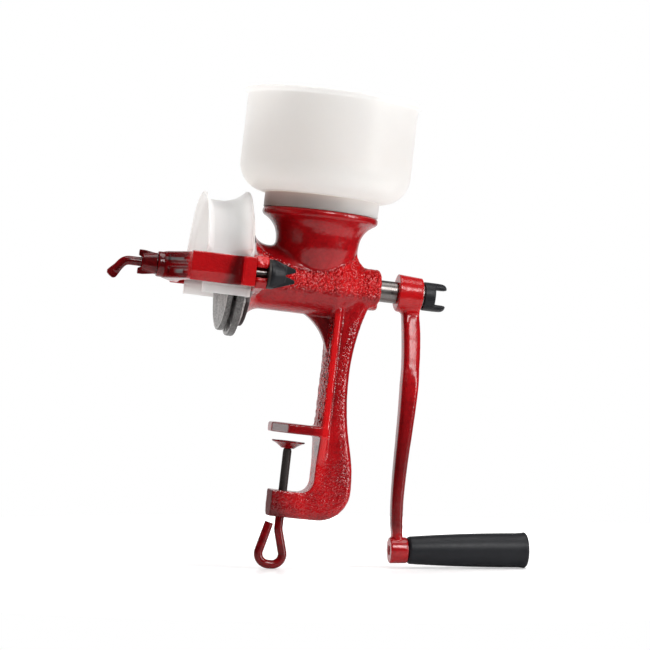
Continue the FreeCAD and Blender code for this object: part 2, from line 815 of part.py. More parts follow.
def yoke_stud():
    return on_shaft(rod_x(STUD_R, -BODY_FRONT - BLOCK_L, LUG_BACK + WASHER_T + NUT_HUB_L, -STUD_Y))


def yoke_washer():
    washer = rod_x(NUT_R, LUG_BACK, LUG_BACK + WASHER_T, -STUD_Y)
    return on_shaft(washer.cut(rod_x(STUD_R + RUN_FIT, LUG_BACK, LUG_BACK + WASHER_T, -STUD_Y)))


def wing_nut():
    """Flanged nut with two tapering wings, parted by a notch at the tip."""
    seat = LUG_BACK + WASHER_T
    tip = seat + NUT_L
    flange_back = seat + NUT_FLANGE_T
    bore_r = STUD_R + RUN_FIT
    hub = turned_x(
        (seat, 0),
        (seat, NUT_R),
        (flange_back, NUT_R),
        (seat + NUT_HUB_L, NUT_HUB_R),
        (seat + NUT_HUB_L, 0),
    )
    wings = face(
        xz,
        (flange_back, -NUT_R),
        (tip, -NUT_TIP_H),
        (tip, -NUT_NOTCH_HALF_H),
        (tip - NUT_NOTCH_L, 0),
        (tip, NUT_NOTCH_HALF_H),
        (tip, NUT_TIP_H),
        (flange_back, NUT_R),
    )
    wing = slab_y(wings, NUT_WING_T / 2).common(rod_x(NUT_R, seat, tip))
    bore = rod_x(bore_r, seat, seat + NUT_HUB_L + SEAT_GAP)
    return on_shaft(moved(hub.fuse(wing).cut(bore), 0, -STUD_Y, 0))


# Adjusting screw and lock nut


def adjusting_screw():
    """Threaded rod, bent into a short lever with a flattened end."""
    turn = (-YOKE_BOSS_FRONT - LEVER_OUT, 0)
    slope = math.radians(LEVER_ANGLE)
    end = (turn[0] - LEVER_L * math.cos(slope), -LEVER_L * math.sin(slope))
    bar = round_bar([(SCREW_TIP, 0), turn, end], [LEVER_BEND_R], ADJUST_R)
    paddle = slab_y(
        face(
            xz,
            (PADDLE_ROOT_L, -PADDLE_ROOT_W / 2),
            (PADDLE_ROOT_L, PADDLE_ROOT_W / 2),
            (-PADDLE_L / 2, PADDLE_W / 2),
            (-PADDLE_L, PADDLE_ROOT_W / 2),
            (-PADDLE_L, -PADDLE_ROOT_W / 2),
            (-PADDLE_L / 2, -PADDLE_W / 2),
        ),
        PADDLE_T / 2,
    )
    paddle.rotate(CENTRE, SIDEWAYS, -LEVER_ANGLE)
    return on_shaft(bar.fuse(moved(paddle, end[0], 0, end[1])))


def lock_nut():
    """Small wing nut that jams against the yoke's boss."""
    seat = -YOKE_BOSS_FRONT - SEAT_GAP
    tip = seat - LOCK_L
    hub = turned_x((seat, 0), (seat, LOCK_R), (tip, LOCK_TIP_R), (tip, 0))
    far = seat - LOCK_WING_L
    wing = face(
        xz,
        (seat - LOCK_WING_T / 2, 0),
        (seat - LOCK_WING_T / 2, LOCK_R - SEAT_GAP),
        (far + LOCK_WING_T, LOCK_WING_H),
        (far, LOCK_WING_H),
        (far, LOCK_WING_H - LOCK_WING_T),
        (tip, ADJUST_R),
        (tip, 0),
    )
    upper = slab_y(wing, LOCK_WING_T / 2)
    lower = upper.mirror(CENTRE, UPWARD)
    bore = rod_x(ADJUST_R + RUN_FIT, far, seat)
    return on_shaft(hub.fuse([upper, lower]).cut(bore).removeSplitter())


# Crank


def arm_section(z, x, thick, wide):
    """Bevelled rectangle across the crank arm."""
    half_x = thick / 2
    half_y = wide / 2
    corners = []
    for sx, sy in ((1, 1), (-1, 1), (-1, -1), (1, -1)):
        long_way = (sx * half_x, sy * (half_y - ARM_BEVEL))
        cross_way = (sx * (half_x - ARM_BEVEL), sy * half_y)
        corners += [long_way, cross_way] if sx * sy > 0 else [cross_way, long_way]
    points = [Vector(x + px, py, z) for px, py in corners]
    return Part.makePolygon(points + points[:1])


def eye_place(shape):
    """Puts a shape drawn along X from the eye's middle at the crank's lower eye, tilted with the grip."""
    tilted = shape.copy()
    tilted.rotate(CENTRE, SIDEWAYS, -GRIP_TILT)
    return on_shaft(moved(tilted, HUB_MID + EYE_X, 0, -CRANK_RADIUS))


def crank_arm():
    hub = turned_x((HUB_FACE, 0), (HUB_FACE, HUB_R), (HUB_END, HUB_REAR_R), (HUB_END, 0))
    rake_x = HUB_MID + ARM_RAKE_X
    foot_x = HUB_MID + ARM_FOOT_X
    sections = [
        arm_section(0, HUB_MID, ARM_TOP_TX, ARM_TOP_WY),
        arm_section(-ARM_RAKE_Z, rake_x, ARM_TOP_TX, ARM_TOP_WY),
        arm_section(-ARM_KNEE_Z, HUB_MID + ARM_KNEE_X, ARM_KNEE_TX, ARM_KNEE_WY),
        arm_section(-ARM_FOOT_Z, foot_x, ARM_FOOT_TX, ARM_FOOT_WY),
        arm_section(-CRANK_RADIUS, HUB_MID + EYE_X, ARM_FOOT_TX, ARM_FOOT_WY),
    ]
    arm = Part.makeLoft(sections, True)
    eye = eye_place(rod_x(EYE_R, -EYE_L / 2, EYE_L / 2))
    side = TAIL_SIDE / 2 + RUN_FIT
    square = block(HUB_FACE, HUB_END, -side, side, -side, side)
    bolt_hole = eye_place(rod_x(GRIP_BOLT_R, -EYE_L, EYE_L))
    return on_shaft(hub.fuse(arm)).fuse(eye).cut([on_shaft(square), bolt_hole]).removeSplitter()


def crank_washer():
    ring = rod_x(NUT_R - WASHER_T, HUB_END, HUB_END + WASHER_T)
    return on_shaft(ring.cut(rod_x(CRANK_SCREW_R + RUN_FIT, HUB_END, HUB_END + WASHER_T)))


def crank_wing_screw():
    """Plastic wing head moulded on a steel screw that holds the crank on the shaft."""
    seat = HUB_END + WASHER_T
    base_end = seat + KNOB_BASE_L
    head = rod_x(KNOB_R, seat, base_end)
    tip = base_end + KNOB_PRONG_L
    round_start = (tip - KNOB_ROUND, KNOB_R)
    round_end = (tip, KNOB_R - KNOB_ROUND)
    reach = turned_x(
        (seat, 0),
        (seat, KNOB_R),
        round_start,
        tangent_arc(round_start, round_end, QUARTER_LEAN, 1),
        (tip, 0),
    )
    inner = KNOB_R - KNOB_PRONG_T
    prong = block(base_end, tip, -KNOB_PRONG_W / 2, KNOB_PRONG_W / 2, inner, KNOB_R)
    upper = prong.common(reach)
    lower = upper.mirror(CENTRE, UPWARD)
    return on_shaft(head.fuse([upper, lower]).cut(rod_x(CRANK_SCREW_R - RUN_FIT, seat, base_end)))


def crank_screw_stud():
    head_end = HUB_END + WASHER_T + KNOB_BASE_L
    return on_shaft(rod_x(CRANK_SCREW_R - RUN_FIT, HUB_END - CRANK_SCREW_L, head_end))


def grip():
    start = EYE_L / 2 + SEAT_GAP
    end = start + GRIP_L
    neck = (end - GRIP_END_L, GRIP_END_R)
    near = (start + GRIP_BEVEL, GRIP_NEAR_R)
    bore_r = GRIP_BOLT_R + RUN_FIT
    recess_r = GRIP_BOLT_HEAD_R + SEAT_GAP
    shape = turned_x(
        (start, bore_r),
        (start, GRIP_NEAR_R - GRIP_BEVEL),
        near,
        bowed(near, neck, GRIP_SWELL),
        (end - GRIP_BEVEL, GRIP_FAR_R),
        (end, GRIP_FAR_R - GRIP_BEVEL),
        (end, recess_r),
        (end - GRIP_HEAD_RECESS, recess_r),
        (end - GRIP_HEAD_RECESS, bore_r),
    )
    return eye_place(shape)


def grip_bolt():
    seat = EYE_L / 2 + SEAT_GAP + GRIP_L - GRIP_HEAD_RECESS + SEAT_GAP
    shank = rod_x(GRIP_BOLT_R, -EYE_L / 2 + GRIP_BOLT_RECESS, seat)
    return eye_place(shank.fuse(rod_x(GRIP_BOLT_HEAD_R, seat, seat + GRIP_BOLT_HEAD_L)))


# Clamp screw


def clamp_pad():
    top = -CLAMP_REST
    shape = turned_z(
        (0, top - PAD_DISH),
        (PAD_DISH_R, top - PAD_DISH),
        (PAD_DISH_R + PAD_DISH, top),
        (PAD_R, top),
        (PAD_R, top - PAD_EDGE_T),
        (PAD_HUB_R, top - PAD_H),
        (SPIGOT_R + RUN_FIT, top - PAD_H),
        (SPIGOT_R + RUN_FIT, top - PAD_H + SPIGOT_L),
        (0, top - PAD_H + SPIGOT_L),
    )
    return shape


def clamp_screw():
    shoulder = -CLAMP_REST - PAD_H - RUN_FIT
    spigot = Part.makeCylinder(SPIGOT_R, SPIGOT_L, Vector(0, 0, shoulder), UPWARD)
    rod_foot = LOOP_NECK_R - LOOP_TOP
    rod = Part.makeCylinder(CLAMP_R, shoulder - rod_foot, Vector(0, 0, rod_foot), UPWARD)
    loop = round_bar(
        [
            (0, rod_foot),
            (0, -LOOP_TOP),
            (LOOP_RIGHT, -LOOP_BOTTOM),
            (-LOOP_LEFT, -LOOP_BOTTOM),
            (-LOOP_END_X, -LOOP_END),
        ],
        [LOOP_NECK_R, LOOP_BEND_R, LOOP_BEND_R],
        LOOP_WIRE_R,
    )
    return rod.fuse([spigot, loop]).removeSplitter()


NEAR_STUD = yoke_stud()
NEAR_WASHER = yoke_washer()
NEAR_WING_NUT = wing_nut()

PARTS = {
    "body_casting": body_casting(),
    "hopper": hopper(),
    "stationary_plate": stationary_plate(),
    "stationary_plate_screws": plate_screws(),
    "rotating_plate": rotating_plate(),
    "auger_shaft": auger_shaft(),
    "drive_pin": drive_pin(),
    "thrust_ball": thrust_ball(),
    "plate_guard": plate_guard(),
    "yoke": yoke(),
    "yoke_stud_near": NEAR_STUD,
    "yoke_stud_far": far_side(NEAR_STUD),
    "yoke_washer_near": NEAR_WASHER,
    "yoke_washer_far": far_side(NEAR_WASHER),
    "yoke_wing_nut_near": NEAR_WING_NUT,
    "yoke_wing_nut_far": far_side(NEAR_WING_NUT),
    "adjusting_screw": adjusting_screw(),
    "adjusting_lock_nut": lock_nut(),
    "crank_arm": crank_arm(),
    "crank_washer": crank_washer(),
    "crank_wing_head": crank_wing_screw(),
    "crank_screw_stud": crank_screw_stud(),
    "grip": grip(),
    "grip_bolt": grip_bolt(),
    "clamp_screw": clamp_screw(),
    "clamp_pad": clamp_pad(),
}

os.makedirs("parts", exist_ok=True)
for node, shape in PARTS.items():
    shape.exportStep(os.path.join("parts", node + ".step"))
    state = "valid" if shape.isValid() else "INVALID"
    print(node, len(shape.Solids), "solids", round(shape.Volume), "mm3", state)
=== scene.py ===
import json
import math
from functools import cache

import bmesh
import bpy
import numpy as np
from bpy.props import FloatProperty, FloatVectorProperty, IntProperty, PointerProperty
from mathutils import Matrix, Vector
from mathutils.bvhtree import BVHTree


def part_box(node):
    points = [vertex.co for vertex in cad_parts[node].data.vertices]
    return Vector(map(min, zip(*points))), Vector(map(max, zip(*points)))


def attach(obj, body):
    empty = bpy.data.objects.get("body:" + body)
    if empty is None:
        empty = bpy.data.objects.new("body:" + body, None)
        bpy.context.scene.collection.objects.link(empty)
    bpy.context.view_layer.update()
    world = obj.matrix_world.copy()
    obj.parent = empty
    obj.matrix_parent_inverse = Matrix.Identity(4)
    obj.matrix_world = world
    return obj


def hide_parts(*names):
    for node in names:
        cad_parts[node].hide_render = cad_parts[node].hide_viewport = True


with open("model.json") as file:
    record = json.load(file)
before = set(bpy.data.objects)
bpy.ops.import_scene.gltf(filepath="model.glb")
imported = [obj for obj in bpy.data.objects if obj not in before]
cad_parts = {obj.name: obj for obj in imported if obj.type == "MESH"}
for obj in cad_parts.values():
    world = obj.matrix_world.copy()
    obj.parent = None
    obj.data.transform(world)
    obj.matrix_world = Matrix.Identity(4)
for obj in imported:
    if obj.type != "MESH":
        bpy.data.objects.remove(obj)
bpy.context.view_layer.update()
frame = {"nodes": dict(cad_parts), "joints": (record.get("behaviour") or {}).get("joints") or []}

bl_info = {
    "name": "Hand Grain Mill",
    "version": (1, 0, 0),
    "blender": (4, 5, 0),
    "location": "View3D > Sidebar > Mill",
    "description": "Dresses the frame of a clamp-on hand mill for grain",
    "category": "Add Mesh",
}

MM = 0.001
JOINTS = {joint["name"]: joint for joint in frame["joints"]}
SHAFT = Vector(JOINTS["crank_turn"]["pos_m"])
EYE = Vector(JOINTS["grip_turn"]["pos_m"])
GRIP_AXIS = Vector(JOINTS["grip_turn"]["axis"])
STUD_SIDES = {"near": -1, "far": 1}
IN_FRAME = Matrix.Scale(MM, 4)
ON_SHAFT = Matrix.Translation(SHAFT) @ IN_FRAME
UPRIGHT = Matrix.Rotation(-math.pi / 2, 4, "Y")  # turns the X axis up
ALONG_X = Matrix.Rotation(math.pi / 2, 4, "Y")  # lays the Z axis along X
SPIN_STEPS = 96
SOFT_ANGLE = math.radians(25)
CREASE = math.radians(32)
TINY = 1e-6
MERGE_MM = 1e-4
SOFT_PART = 2.2  # a soft corner takes at most a side's length over this
RELAX_STEP = 0.5
HOLLOW_START = 0.08  # hollow, in voxels, at which a point starts to count as an inner corner
HOLLOW_GAIN = 6
CORNER_FADE = 0.86  # what is left of an inner corner's weight one point further on
NOISE_RANGE = (0.3, 0.7)  # where most of a noise's values lie

# Places along the shaft in millimetres, measured from the mouth axis
BODY_FRONT = -62.2
FIXED_BACK = -65.0
FIXED_FACE = -71.0
TURNING_BACK = -74.2
TURNING_FACE = -79.0
SCREW_TIP = -94.05
GUARD_FRONT = -104.0
GUARD_BACK = -62.5
YOKE_FRONT = -137.0
NUT_SEAT = -50.0
HUB_FACE = 75.0
HUB_END = 96.5
TAPPED = 66.5  # bottom of the tapped hole in the shaft's tail

# Radii in millimetres, and the washers' thickness
CHAMBER = 24.5
STUD = 4.0
PIN = 3.0
KEPT_BORE = 5.2  # round a screw's bore, which stays true
WASHER_HOLE = 4.1
WASHER = 2.0


# Settings


def length(label, text, default):
    return FloatProperty(
        name=label, description=text, default=default, unit="LENGTH", precision=5
    )


def power(label, text, default):
    return FloatProperty(name=label, description=text, default=default, unit="POWER")


def number(label, text, default):
    return IntProperty(name=label, description=text, default=default)


def colour(label, text, default):
    return FloatVectorProperty(
        name=label, description=text, default=default, size=3, subtype="COLOR", min=0.0, max=1.0
    )


class MillCasting(bpy.types.PropertyGroup):
    voxel: length("Voxel", "Mesh spacing on the cast body", 0.00125)
    small_voxel: length("Small Voxel", "Mesh spacing on the yoke and the crank", 0.00075)
    fine_voxel: length("Fine Voxel", "Mesh spacing on nuts, the wing head and the lever", 0.0005)
    grain_depth: length("Grain Depth", "Height of the lumps of the sand-cast skin", 0.0004)
    lump: length("Lump", "Distance between the lumps of the sand-cast skin", 0.0036)
    fillet_passes: number("Fillet Passes", "Smoothing of inner corners", 26)
    edge_passes: number("Edge Passes", "Smoothing of outer edges", 3)


class MillThread(bpy.types.PropertyGroup):
    pitch: length("Pitch", "Travel of a screw in one turn", 0.00125)
    depth: length("Depth", "Height of the thread", 0.00045)
    radius: length("Radius", "Outer radius of the screws", 0.004)


class MillPlates(bpy.types.PropertyGroup):
    furrows: number("Furrows", "Furrows in each grinding face", 24)
    furrow_width: length("Furrow Width", "Width of one furrow", 0.0032)
    furrow_depth: length("Furrow Depth", "Depth of one furrow", 0.0016)
    furrow_tilt: FloatProperty(
        name="Furrow Tilt",
        description="Slant of the furrows from the radius",
        default=math.radians(18),
        subtype="ANGLE",
    )
    flight_pitch: length("Flight Pitch", "Travel of the auger's flight in one turn", 0.027)
    flight_radius: length("Flight Radius", "Outer radius of the auger's flight", 0.022)
    flight_turns: FloatProperty(name="Flight Turns", description="Turns of the flight", default=2.5)


class MillPlastic(bpy.types.PropertyGroup):
    wall: length("Wall", "Wall of the hopper and the guard", 0.0022)
    bowl_radius: length("Bowl Radius", "Outer radius of the hopper", 0.0745)
    bowl_top: length("Bowl Top", "Top of the hopper above the shaft axis", 0.16228)
    guard_radius: length("Guard Radius", "Outer radius of the guard", 0.061)


class MillColours(bpy.types.PropertyGroup):
    red: colour("Red", "Paint where it lies thick", (0.42, 0.003, 0.006))
    deep_red: colour("Deep Red", "Paint where it lies thin", (0.25, 0.0015, 0.004))
    # painted highlight: the red of glints on the castings' lumps and of their lit places
    painted_highlight_red: colour("Bright Red", "Paint on lumps and lit edges", (0.66, 0.006, 0.008))
    # painted shade in hollow corners, pits and shaded places on the castings; also the rods' own
    # dark paint
    dark_red_and_painted_shade: colour("Shade Red", "Paint in hollow corners and on rods", (0.07, 0.001, 0.002))
    # grey of iron where the paint has gone at the jaw's tip; also painted glints in the yoke's
    # grooves
    worn_and_glint_grey: colour("Worn", "Iron where the paint is rubbed off", (0.62, 0.58, 0.58))
    milky: colour("Milky", "Plastic of the hopper and the guard", (0.975, 0.937, 0.893))
    # iron showing through the milky plastic; also painted shade on the plastic's sides, rims and
    # insides
    veiled_iron_and_painted_shade: colour("Veiled", "Milky plastic that iron shows through", (0.20, 0.105, 0.09))
    black: colour("Black", "Plastic of the grip and the wings", (0.008, 0.0085, 0.0105))
    steel: colour("Steel", "Shaft, studs and small steel pieces", (0.23, 0.21, 0.2))
    iron: colour("Iron", "Raw grinding plates", (0.62, 0.6, 0.585))
    blackened: colour("Blackened", "Screw threads and yoke washers", (0.016, 0.013, 0.012))


class MillStage(bpy.types.PropertyGroup):
    floor: colour("Floor", "Floor and backdrop", (0.90, 0.90, 0.90))
    key: power("Key", "Power of the tall lamp at the right", 35.0)
    front: power("Front", "Power of the gloss lamp in front", 26.0)
    side: power("Side", "Power of the lamp at the left", 12.0)
    top: power("Top", "Power of the lamp above", 18.0)
    world: FloatProperty(name="World", description="Light from the front", default=0.26)


class MillSettings(bpy.types.PropertyGroup):
    casting: PointerProperty(type=MillCasting)
    thread: PointerProperty(type=MillThread)
    plates: PointerProperty(type=MillPlates)
    plastic: PointerProperty(type=MillPlastic)
    colours: PointerProperty(type=MillColours)
    stage: PointerProperty(type=MillStage)


def settings():
    return bpy.context.scene.mill


# Outlines


def arc(start, end, sag, steps=12):
    """Points after start on the arc to end, bowed to the left of the way there by sag."""
    start, end = Vector(start), Vector(end)
    run = end - start
    left = Vector((-run.y, run.x)).normalized()
    radius = (run.length_squared / 4 + sag * sag) / (2 * sag)
    centre = (start + end) / 2 + left * (sag - radius)
    first = math.atan2(start.y - centre.y, start.x - centre.x)
    sweep = -4 * math.atan2(2 * sag, run.length)
    angles = [first + sweep * step / steps for step in range(1, steps + 1)]
    return [centre + abs(radius) * Vector((math.cos(a), math.sin(a))) for a in angles]


def soften(outline, radius, steps=3):
    """Closed outline with its corners rounded, apart from corners on the spin axis."""
    points = [Vector(p) for p in outline]
    result = []
    for index, here in enumerate(points):
        into = here - points[index - 1]
        out = points[(index + 1) % len(points)] - here
        if here.y < TINY or into.angle(out) < SOFT_ANGLE:
            result.append(here)
            continue
        cut = min(radius, into.length / SOFT_PART, out.length / SOFT_PART)
        first = here - into.normalized() * cut
        last = here + out.normalized() * cut
        for step in range(steps + 1):
            t = step / steps
            result.append(first * (1 - t) ** 2 + here * 2 * t * (1 - t) + last * t * t)
    return result


def standing(outline):
    """Outline of (radius, height) points as the (along, radius) points that a spin takes."""
    return [(p[1], p[0]) for p in outline]


# Mesh pieces, drawn in millimetres


def spin(shape, outline, steps=SPIN_STEPS):
    """Adds the (along, radius) outline, spun about X. An outline off the axis closes on itself."""
    rings = []
    for along, radius in outline:
        if radius < TINY:
            rings.append([shape.verts.new((along, 0, 0))])
            continue
        angles = [2 * math.pi * step / steps for step in range(steps)]
        ring = [(along, radius * math.cos(a), radius * math.sin(a)) for a in angles]
        rings.append([shape.verts.new(point) for point in ring])
    follow = rings[1:] + rings[:1]
    for ring, after in zip(rings, follow):
        for step in range(steps):
            ahead = (step + 1) % steps
            corners = [
                ring[step % len(ring)],
                ring[ahead % len(ring)],
                after[ahead % len(after)],
                after[step % len(after)],
            ]
            corners = list(dict.fromkeys(corners))
            if len(corners) > 2:
                shape.faces.new(corners)


def prism(shape, outline, place, low, high):
    """Adds the outline as a prism: place(u, v, w) gives a point for outline (u, v) at depth w."""
    ends = [[shape.verts.new(place(u, v, w)) for u, v in outline] for w in (low, high)]
    for end in ends:
        shape.faces.new(end)
    count = len(outline)
    for index in range(count):
        ahead = (index + 1) % count
        shape.faces.new((ends[0][index], ends[0][ahead], ends[1][ahead], ends[1][index]))


def in_xz(u, v, w):
    return u, w, v


def in_yz(u, v, w):
    return w, u, v


def add_object(name, data):
    piece = bpy.data.objects.new(name, data)
    bpy.context.scene.collection.objects.link(piece)
    return piece


def discard(piece):
    mesh = piece.data
    bpy.data.objects.remove(piece)
    bpy.data.meshes.remove(mesh)


def piece_from(shape, name, place):
    """New object from a bmesh, moved into the frame by place."""
    bmesh.ops.remove_doubles(shape, verts=shape.verts, dist=MERGE_MM)
    bmesh.ops.recalc_face_normals(shape, faces=shape.faces)
    mesh = bpy.data.meshes.new(name)
    shape.to_mesh(mesh)
    shape.free()
    mesh.transform(place)
    return add_object(name, mesh)


def spun(name, outline, place, soft=0.4, steps=SPIN_STEPS):
    """New object from an (along, radius) outline with soft corners, spun about X."""
    shape = bmesh.new()
    spin(shape, soften(outline, soft), steps)
    return piece_from(shape, name, place)


def bar(name, half_y, half_z, low, high, place):
    """New rectangular bar along X from low to high."""
    corners = [(-half_y, -half_z), (half_y, -half_z), (half_y, half_z), (-half_y, half_z)]
    shape = bmesh.new()
    prism(shape, corners, in_yz, low, high)
    return piece_from(shape, name, place)


def cad_copy(node, name):
    """New object with a clean, merged copy of a CAD node's mesh."""
    shape = bmesh.new()
    shape.from_mesh(frame["nodes"][node].data)
    bmesh.ops.remove_doubles(shape, verts=shape.verts, dist=TINY)
    shape.verts.ensure_lookup_table()
    points = [v.co.copy() for v in shape.verts]
    faces = [[v.index for v in f.verts] for f in shape.faces]
    shape.free()
    mesh = bpy.data.meshes.new(name)
    mesh.from_pydata(points, [], faces)
    return add_object(name, mesh)


def settle(piece):
    """Makes what the piece's modifiers give its plain mesh."""
    graph = bpy.context.evaluated_depsgraph_get()
    mesh = bpy.data.meshes.new_from_object(piece.evaluated_get(graph))
    old = piece.data
    piece.modifiers.clear()
    piece.data = mesh
    bpy.data.meshes.remove(old)
    mesh.name = piece.name
    if not mesh.polygons:
        raise RuntimeError(piece.name + " came out empty")
    return piece


def modify(piece, kind, **options):
    """Runs one modifier on the piece and keeps the result as its mesh."""
    step = piece.modifiers.new(kind.lower(), kind)
    for name, value in options.items():
        setattr(step, name, value)
    return settle(piece)


def remesh(piece, voxel):
    return modify(piece, "REMESH", mode="VOXEL", voxel_size=voxel)


def bevel(piece, width, segments=2):
    edges = {"limit_method": "ANGLE", "angle_limit": CREASE}
    return modify(piece, "BEVEL", width=width, segments=segments, **edges)


def combine(piece, other, operation):
    """Boolean of the piece with another object, which is used up."""
    modify(piece, "BOOLEAN", operation=operation, solver="MANIFOLD", object=other)
    discard(other)
    return piece


def point_vectors(mesh, kind):
    values = np.empty(len(mesh.vertices) * 3, np.float32)
    mesh.vertices.foreach_get(kind, values)
    return values.reshape(-1, 3).astype(float)


def coords(piece):
    return point_vectors(piece.data, "co")


def normals_of(piece):
    return point_vectors(piece.data, "normal")


def set_coords(piece, points):
    piece.data.vertices.foreach_set("co", points.astype(np.float32).ravel())
    piece.data.update()


def shaft_xyz(points):
    """x, y and z of points in millimetres, measured from the mouth axis on the shaft."""
    return (points - np.array(SHAFT / MM)).T


def edges_of(mesh):
    """Ends of each edge, and the number of edges at each point."""
    ends = np.empty(len(mesh.edges) * 2, np.int32)
    mesh.edges.foreach_get("vertices", ends)
    degree = np.bincount(ends, minlength=len(mesh.vertices)).reshape(-1, 1)
    return ends.reshape(-1, 2), degree


def mean_neighbour(values, edges, degree):
    total = np.zeros_like(values)
    for axis in range(values.shape[1]):
        total[:, axis] = np.bincount(edges[:, 0], values[edges[:, 1], axis], len(values))
        total[:, axis] += np.bincount(edges[:, 1], values[edges[:, 0], axis], len(values))
    return total / degree


def relax(piece, passes, weight):
    """Smooths the mesh, each point by its weight."""
    points = coords(piece)
    edges, degree = edges_of(piece.data)
    share = RELAX_STEP * weight.reshape(-1, 1)
    for _ in range(passes):
        points += share * (mean_neighbour(points, edges, degree) - points)
    set_coords(piece, points)


def hug(piece, node, weight):
    """Draws each point by its weight to the nearest place on a CAD node's surface."""
    model = frame["nodes"][node].data
    faces = [f.vertices for f in model.polygons]
    surface = BVHTree.FromPolygons([v.co for v in model.vertices], faces)
    points = coords(piece)
    for index in np.nonzero(weight)[0]:
        near = surface.find_nearest(Vector(points[index]))[0]
        points[index] += weight[index] * (np.array(near) - points[index])
    set_coords(piece, points)


def swell(piece, height):
    """Moves each point out along its normal by its height in millimetres."""
    set_coords(piece, coords(piece) + normals_of(piece) * np.reshape(height, (-1, 1)) * MM)


def inner_corners(piece, voxel, reach=5):
    """Weight of each point by how near it is to a concave corner."""
    points = coords(piece)
    edges, degree = edges_of(piece.data)
    inward = mean_neighbour(points, edges, degree) - points
    hollow = (inward * normals_of(piece)).sum(1) / voxel
    weight = np.clip((hollow - HOLLOW_START) * HOLLOW_GAIN, 0, 1)
    for _ in range(reach):
        wider = weight.copy()
        np.maximum.at(wider, edges[:, 0], weight[edges[:, 1]] * CORNER_FADE)
        np.maximum.at(wider, edges[:, 1], weight[edges[:, 0]] * CORNER_FADE)
        weight = wider
    return weight


def cast_shape(piece, voxel, kept, fillets, edges):
    """Gives a piece a casting's soft corners; returns how near each point is to an inner one.

    kept(points) is 0 where the piece must stay true; fillets and edges are smoothing passes.
    """
    remesh(piece, voxel)
    free = kept(coords(piece) / MM)
    relax(piece, edges, free)
    corners = inner_corners(piece, voxel)
    relax(piece, fillets, corners * free)
    return corners


def everywhere(points):
    return np.ones(len(points))


def ramp(value, low, high):
    """0 at low and beyond, 1 at high and beyond."""
    return np.clip((value - low) / (high - low), 0, 1)


def band(value, low, full_low, full_high, high):
    """0 outside low and high, 1 from full_low to full_high."""
    return ramp(value, low, full_low) * ramp(value, high, full_high)


def hill(value, middle, width):
    """1 at the middle, falling off over the width to both sides."""
    return np.exp(-(((value - middle) / width) ** 2))


def store(piece, name, values):
    """Keeps a value at each point for the materials and trees to read."""
    layer = piece.data.attributes.new(name, "FLOAT", "POINT")
    layer.data.foreach_set("value", np.asarray(values, np.float32))


def set_skin(piece, grain, shade):
    """Stores each point's grain, and its colour's darkening (1) or lightening (-1): painted shade
    and light on castings.
    """
    store(piece, "grain", grain)
    store(piece, "shade", shade)


def hand_in(piece, finish, body, slot, *nodes):
    """Finishes a piece: its material, the body it moves with and the CAD nodes it stands for."""
    if finish:
        piece.data.materials.clear()
        piece.data.materials.append(finish)
    piece.data.shade_smooth()
    piece.data.set_sharp_from_angle(angle=CREASE)
    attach(piece, body)
    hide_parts(*nodes)


def grow_skin(piece, sizes, body, node):
    """Grows the sand-cast skin on a painted casting and hands it in."""
    paint = finish_for("cast_red")
    grow(piece, tree_for("skin"), Depth=sizes.grain_depth, Lump=sizes.lump, Finish=paint)
    hand_in(piece, paint, body, "red_paint", node)


# Node helpers


def put(tree, kind, inputs=None, **options):
    """Adds a node, with its options, input values and links set."""
    node = tree.nodes.new(kind)
    for name, value in options.items():
        setattr(node, name, value)
    for key, value in (inputs or {}).items():
        if isinstance(value, bpy.types.Node):
            value = value.outputs[0]
        if isinstance(value, bpy.types.NodeSocket):
            tree.links.new(value, node.inputs[key])
        else:
            node.inputs[key].default_value = value
    return node


def maths(tree, operation, first, second=0.0):
    return put(tree, "ShaderNodeMath", {0: first, 1: second}, operation=operation)


KINDS = {"real": "NodeSocketFloat", "whole": "NodeSocketInt", "finish": "NodeSocketMaterial"}


def start_tree(name, **inputs):
    """New Geometry Nodes tree with named inputs; returns it and its input sockets."""
    tree = bpy.data.node_groups.new(name, "GeometryNodeTree")
    tree.interface.new_socket("Geometry", in_out="INPUT", socket_type="NodeSocketGeometry")
    for label, kind in inputs.items():
        tree.interface.new_socket(label, in_out="INPUT", socket_type=KINDS[kind])
    tree.interface.new_socket("Geometry", in_out="OUTPUT", socket_type="NodeSocketGeometry")
    return tree, tree.nodes.new("NodeGroupInput").outputs


def end_tree(tree, geometry, finish):
    real = put(tree, "GeometryNodeRealizeInstances", {"Geometry": geometry})
    dressed = put(tree, "GeometryNodeSetMaterial", {"Geometry": real, "Material": finish})
    put(tree, "NodeGroupOutput", {0: dressed})
    return tree


def grow(piece, tree, **values):
    """Runs a Geometry Nodes tree on the piece and keeps the result as its mesh."""
    step = piece.modifiers.new(tree.name, "NODES")
    step.node_group = tree
    for item in tree.interface.items_tree:
        if item.in_out == "INPUT" and item.name in values:
            step[item.identifier] = values[item.name]
    return settle(piece)


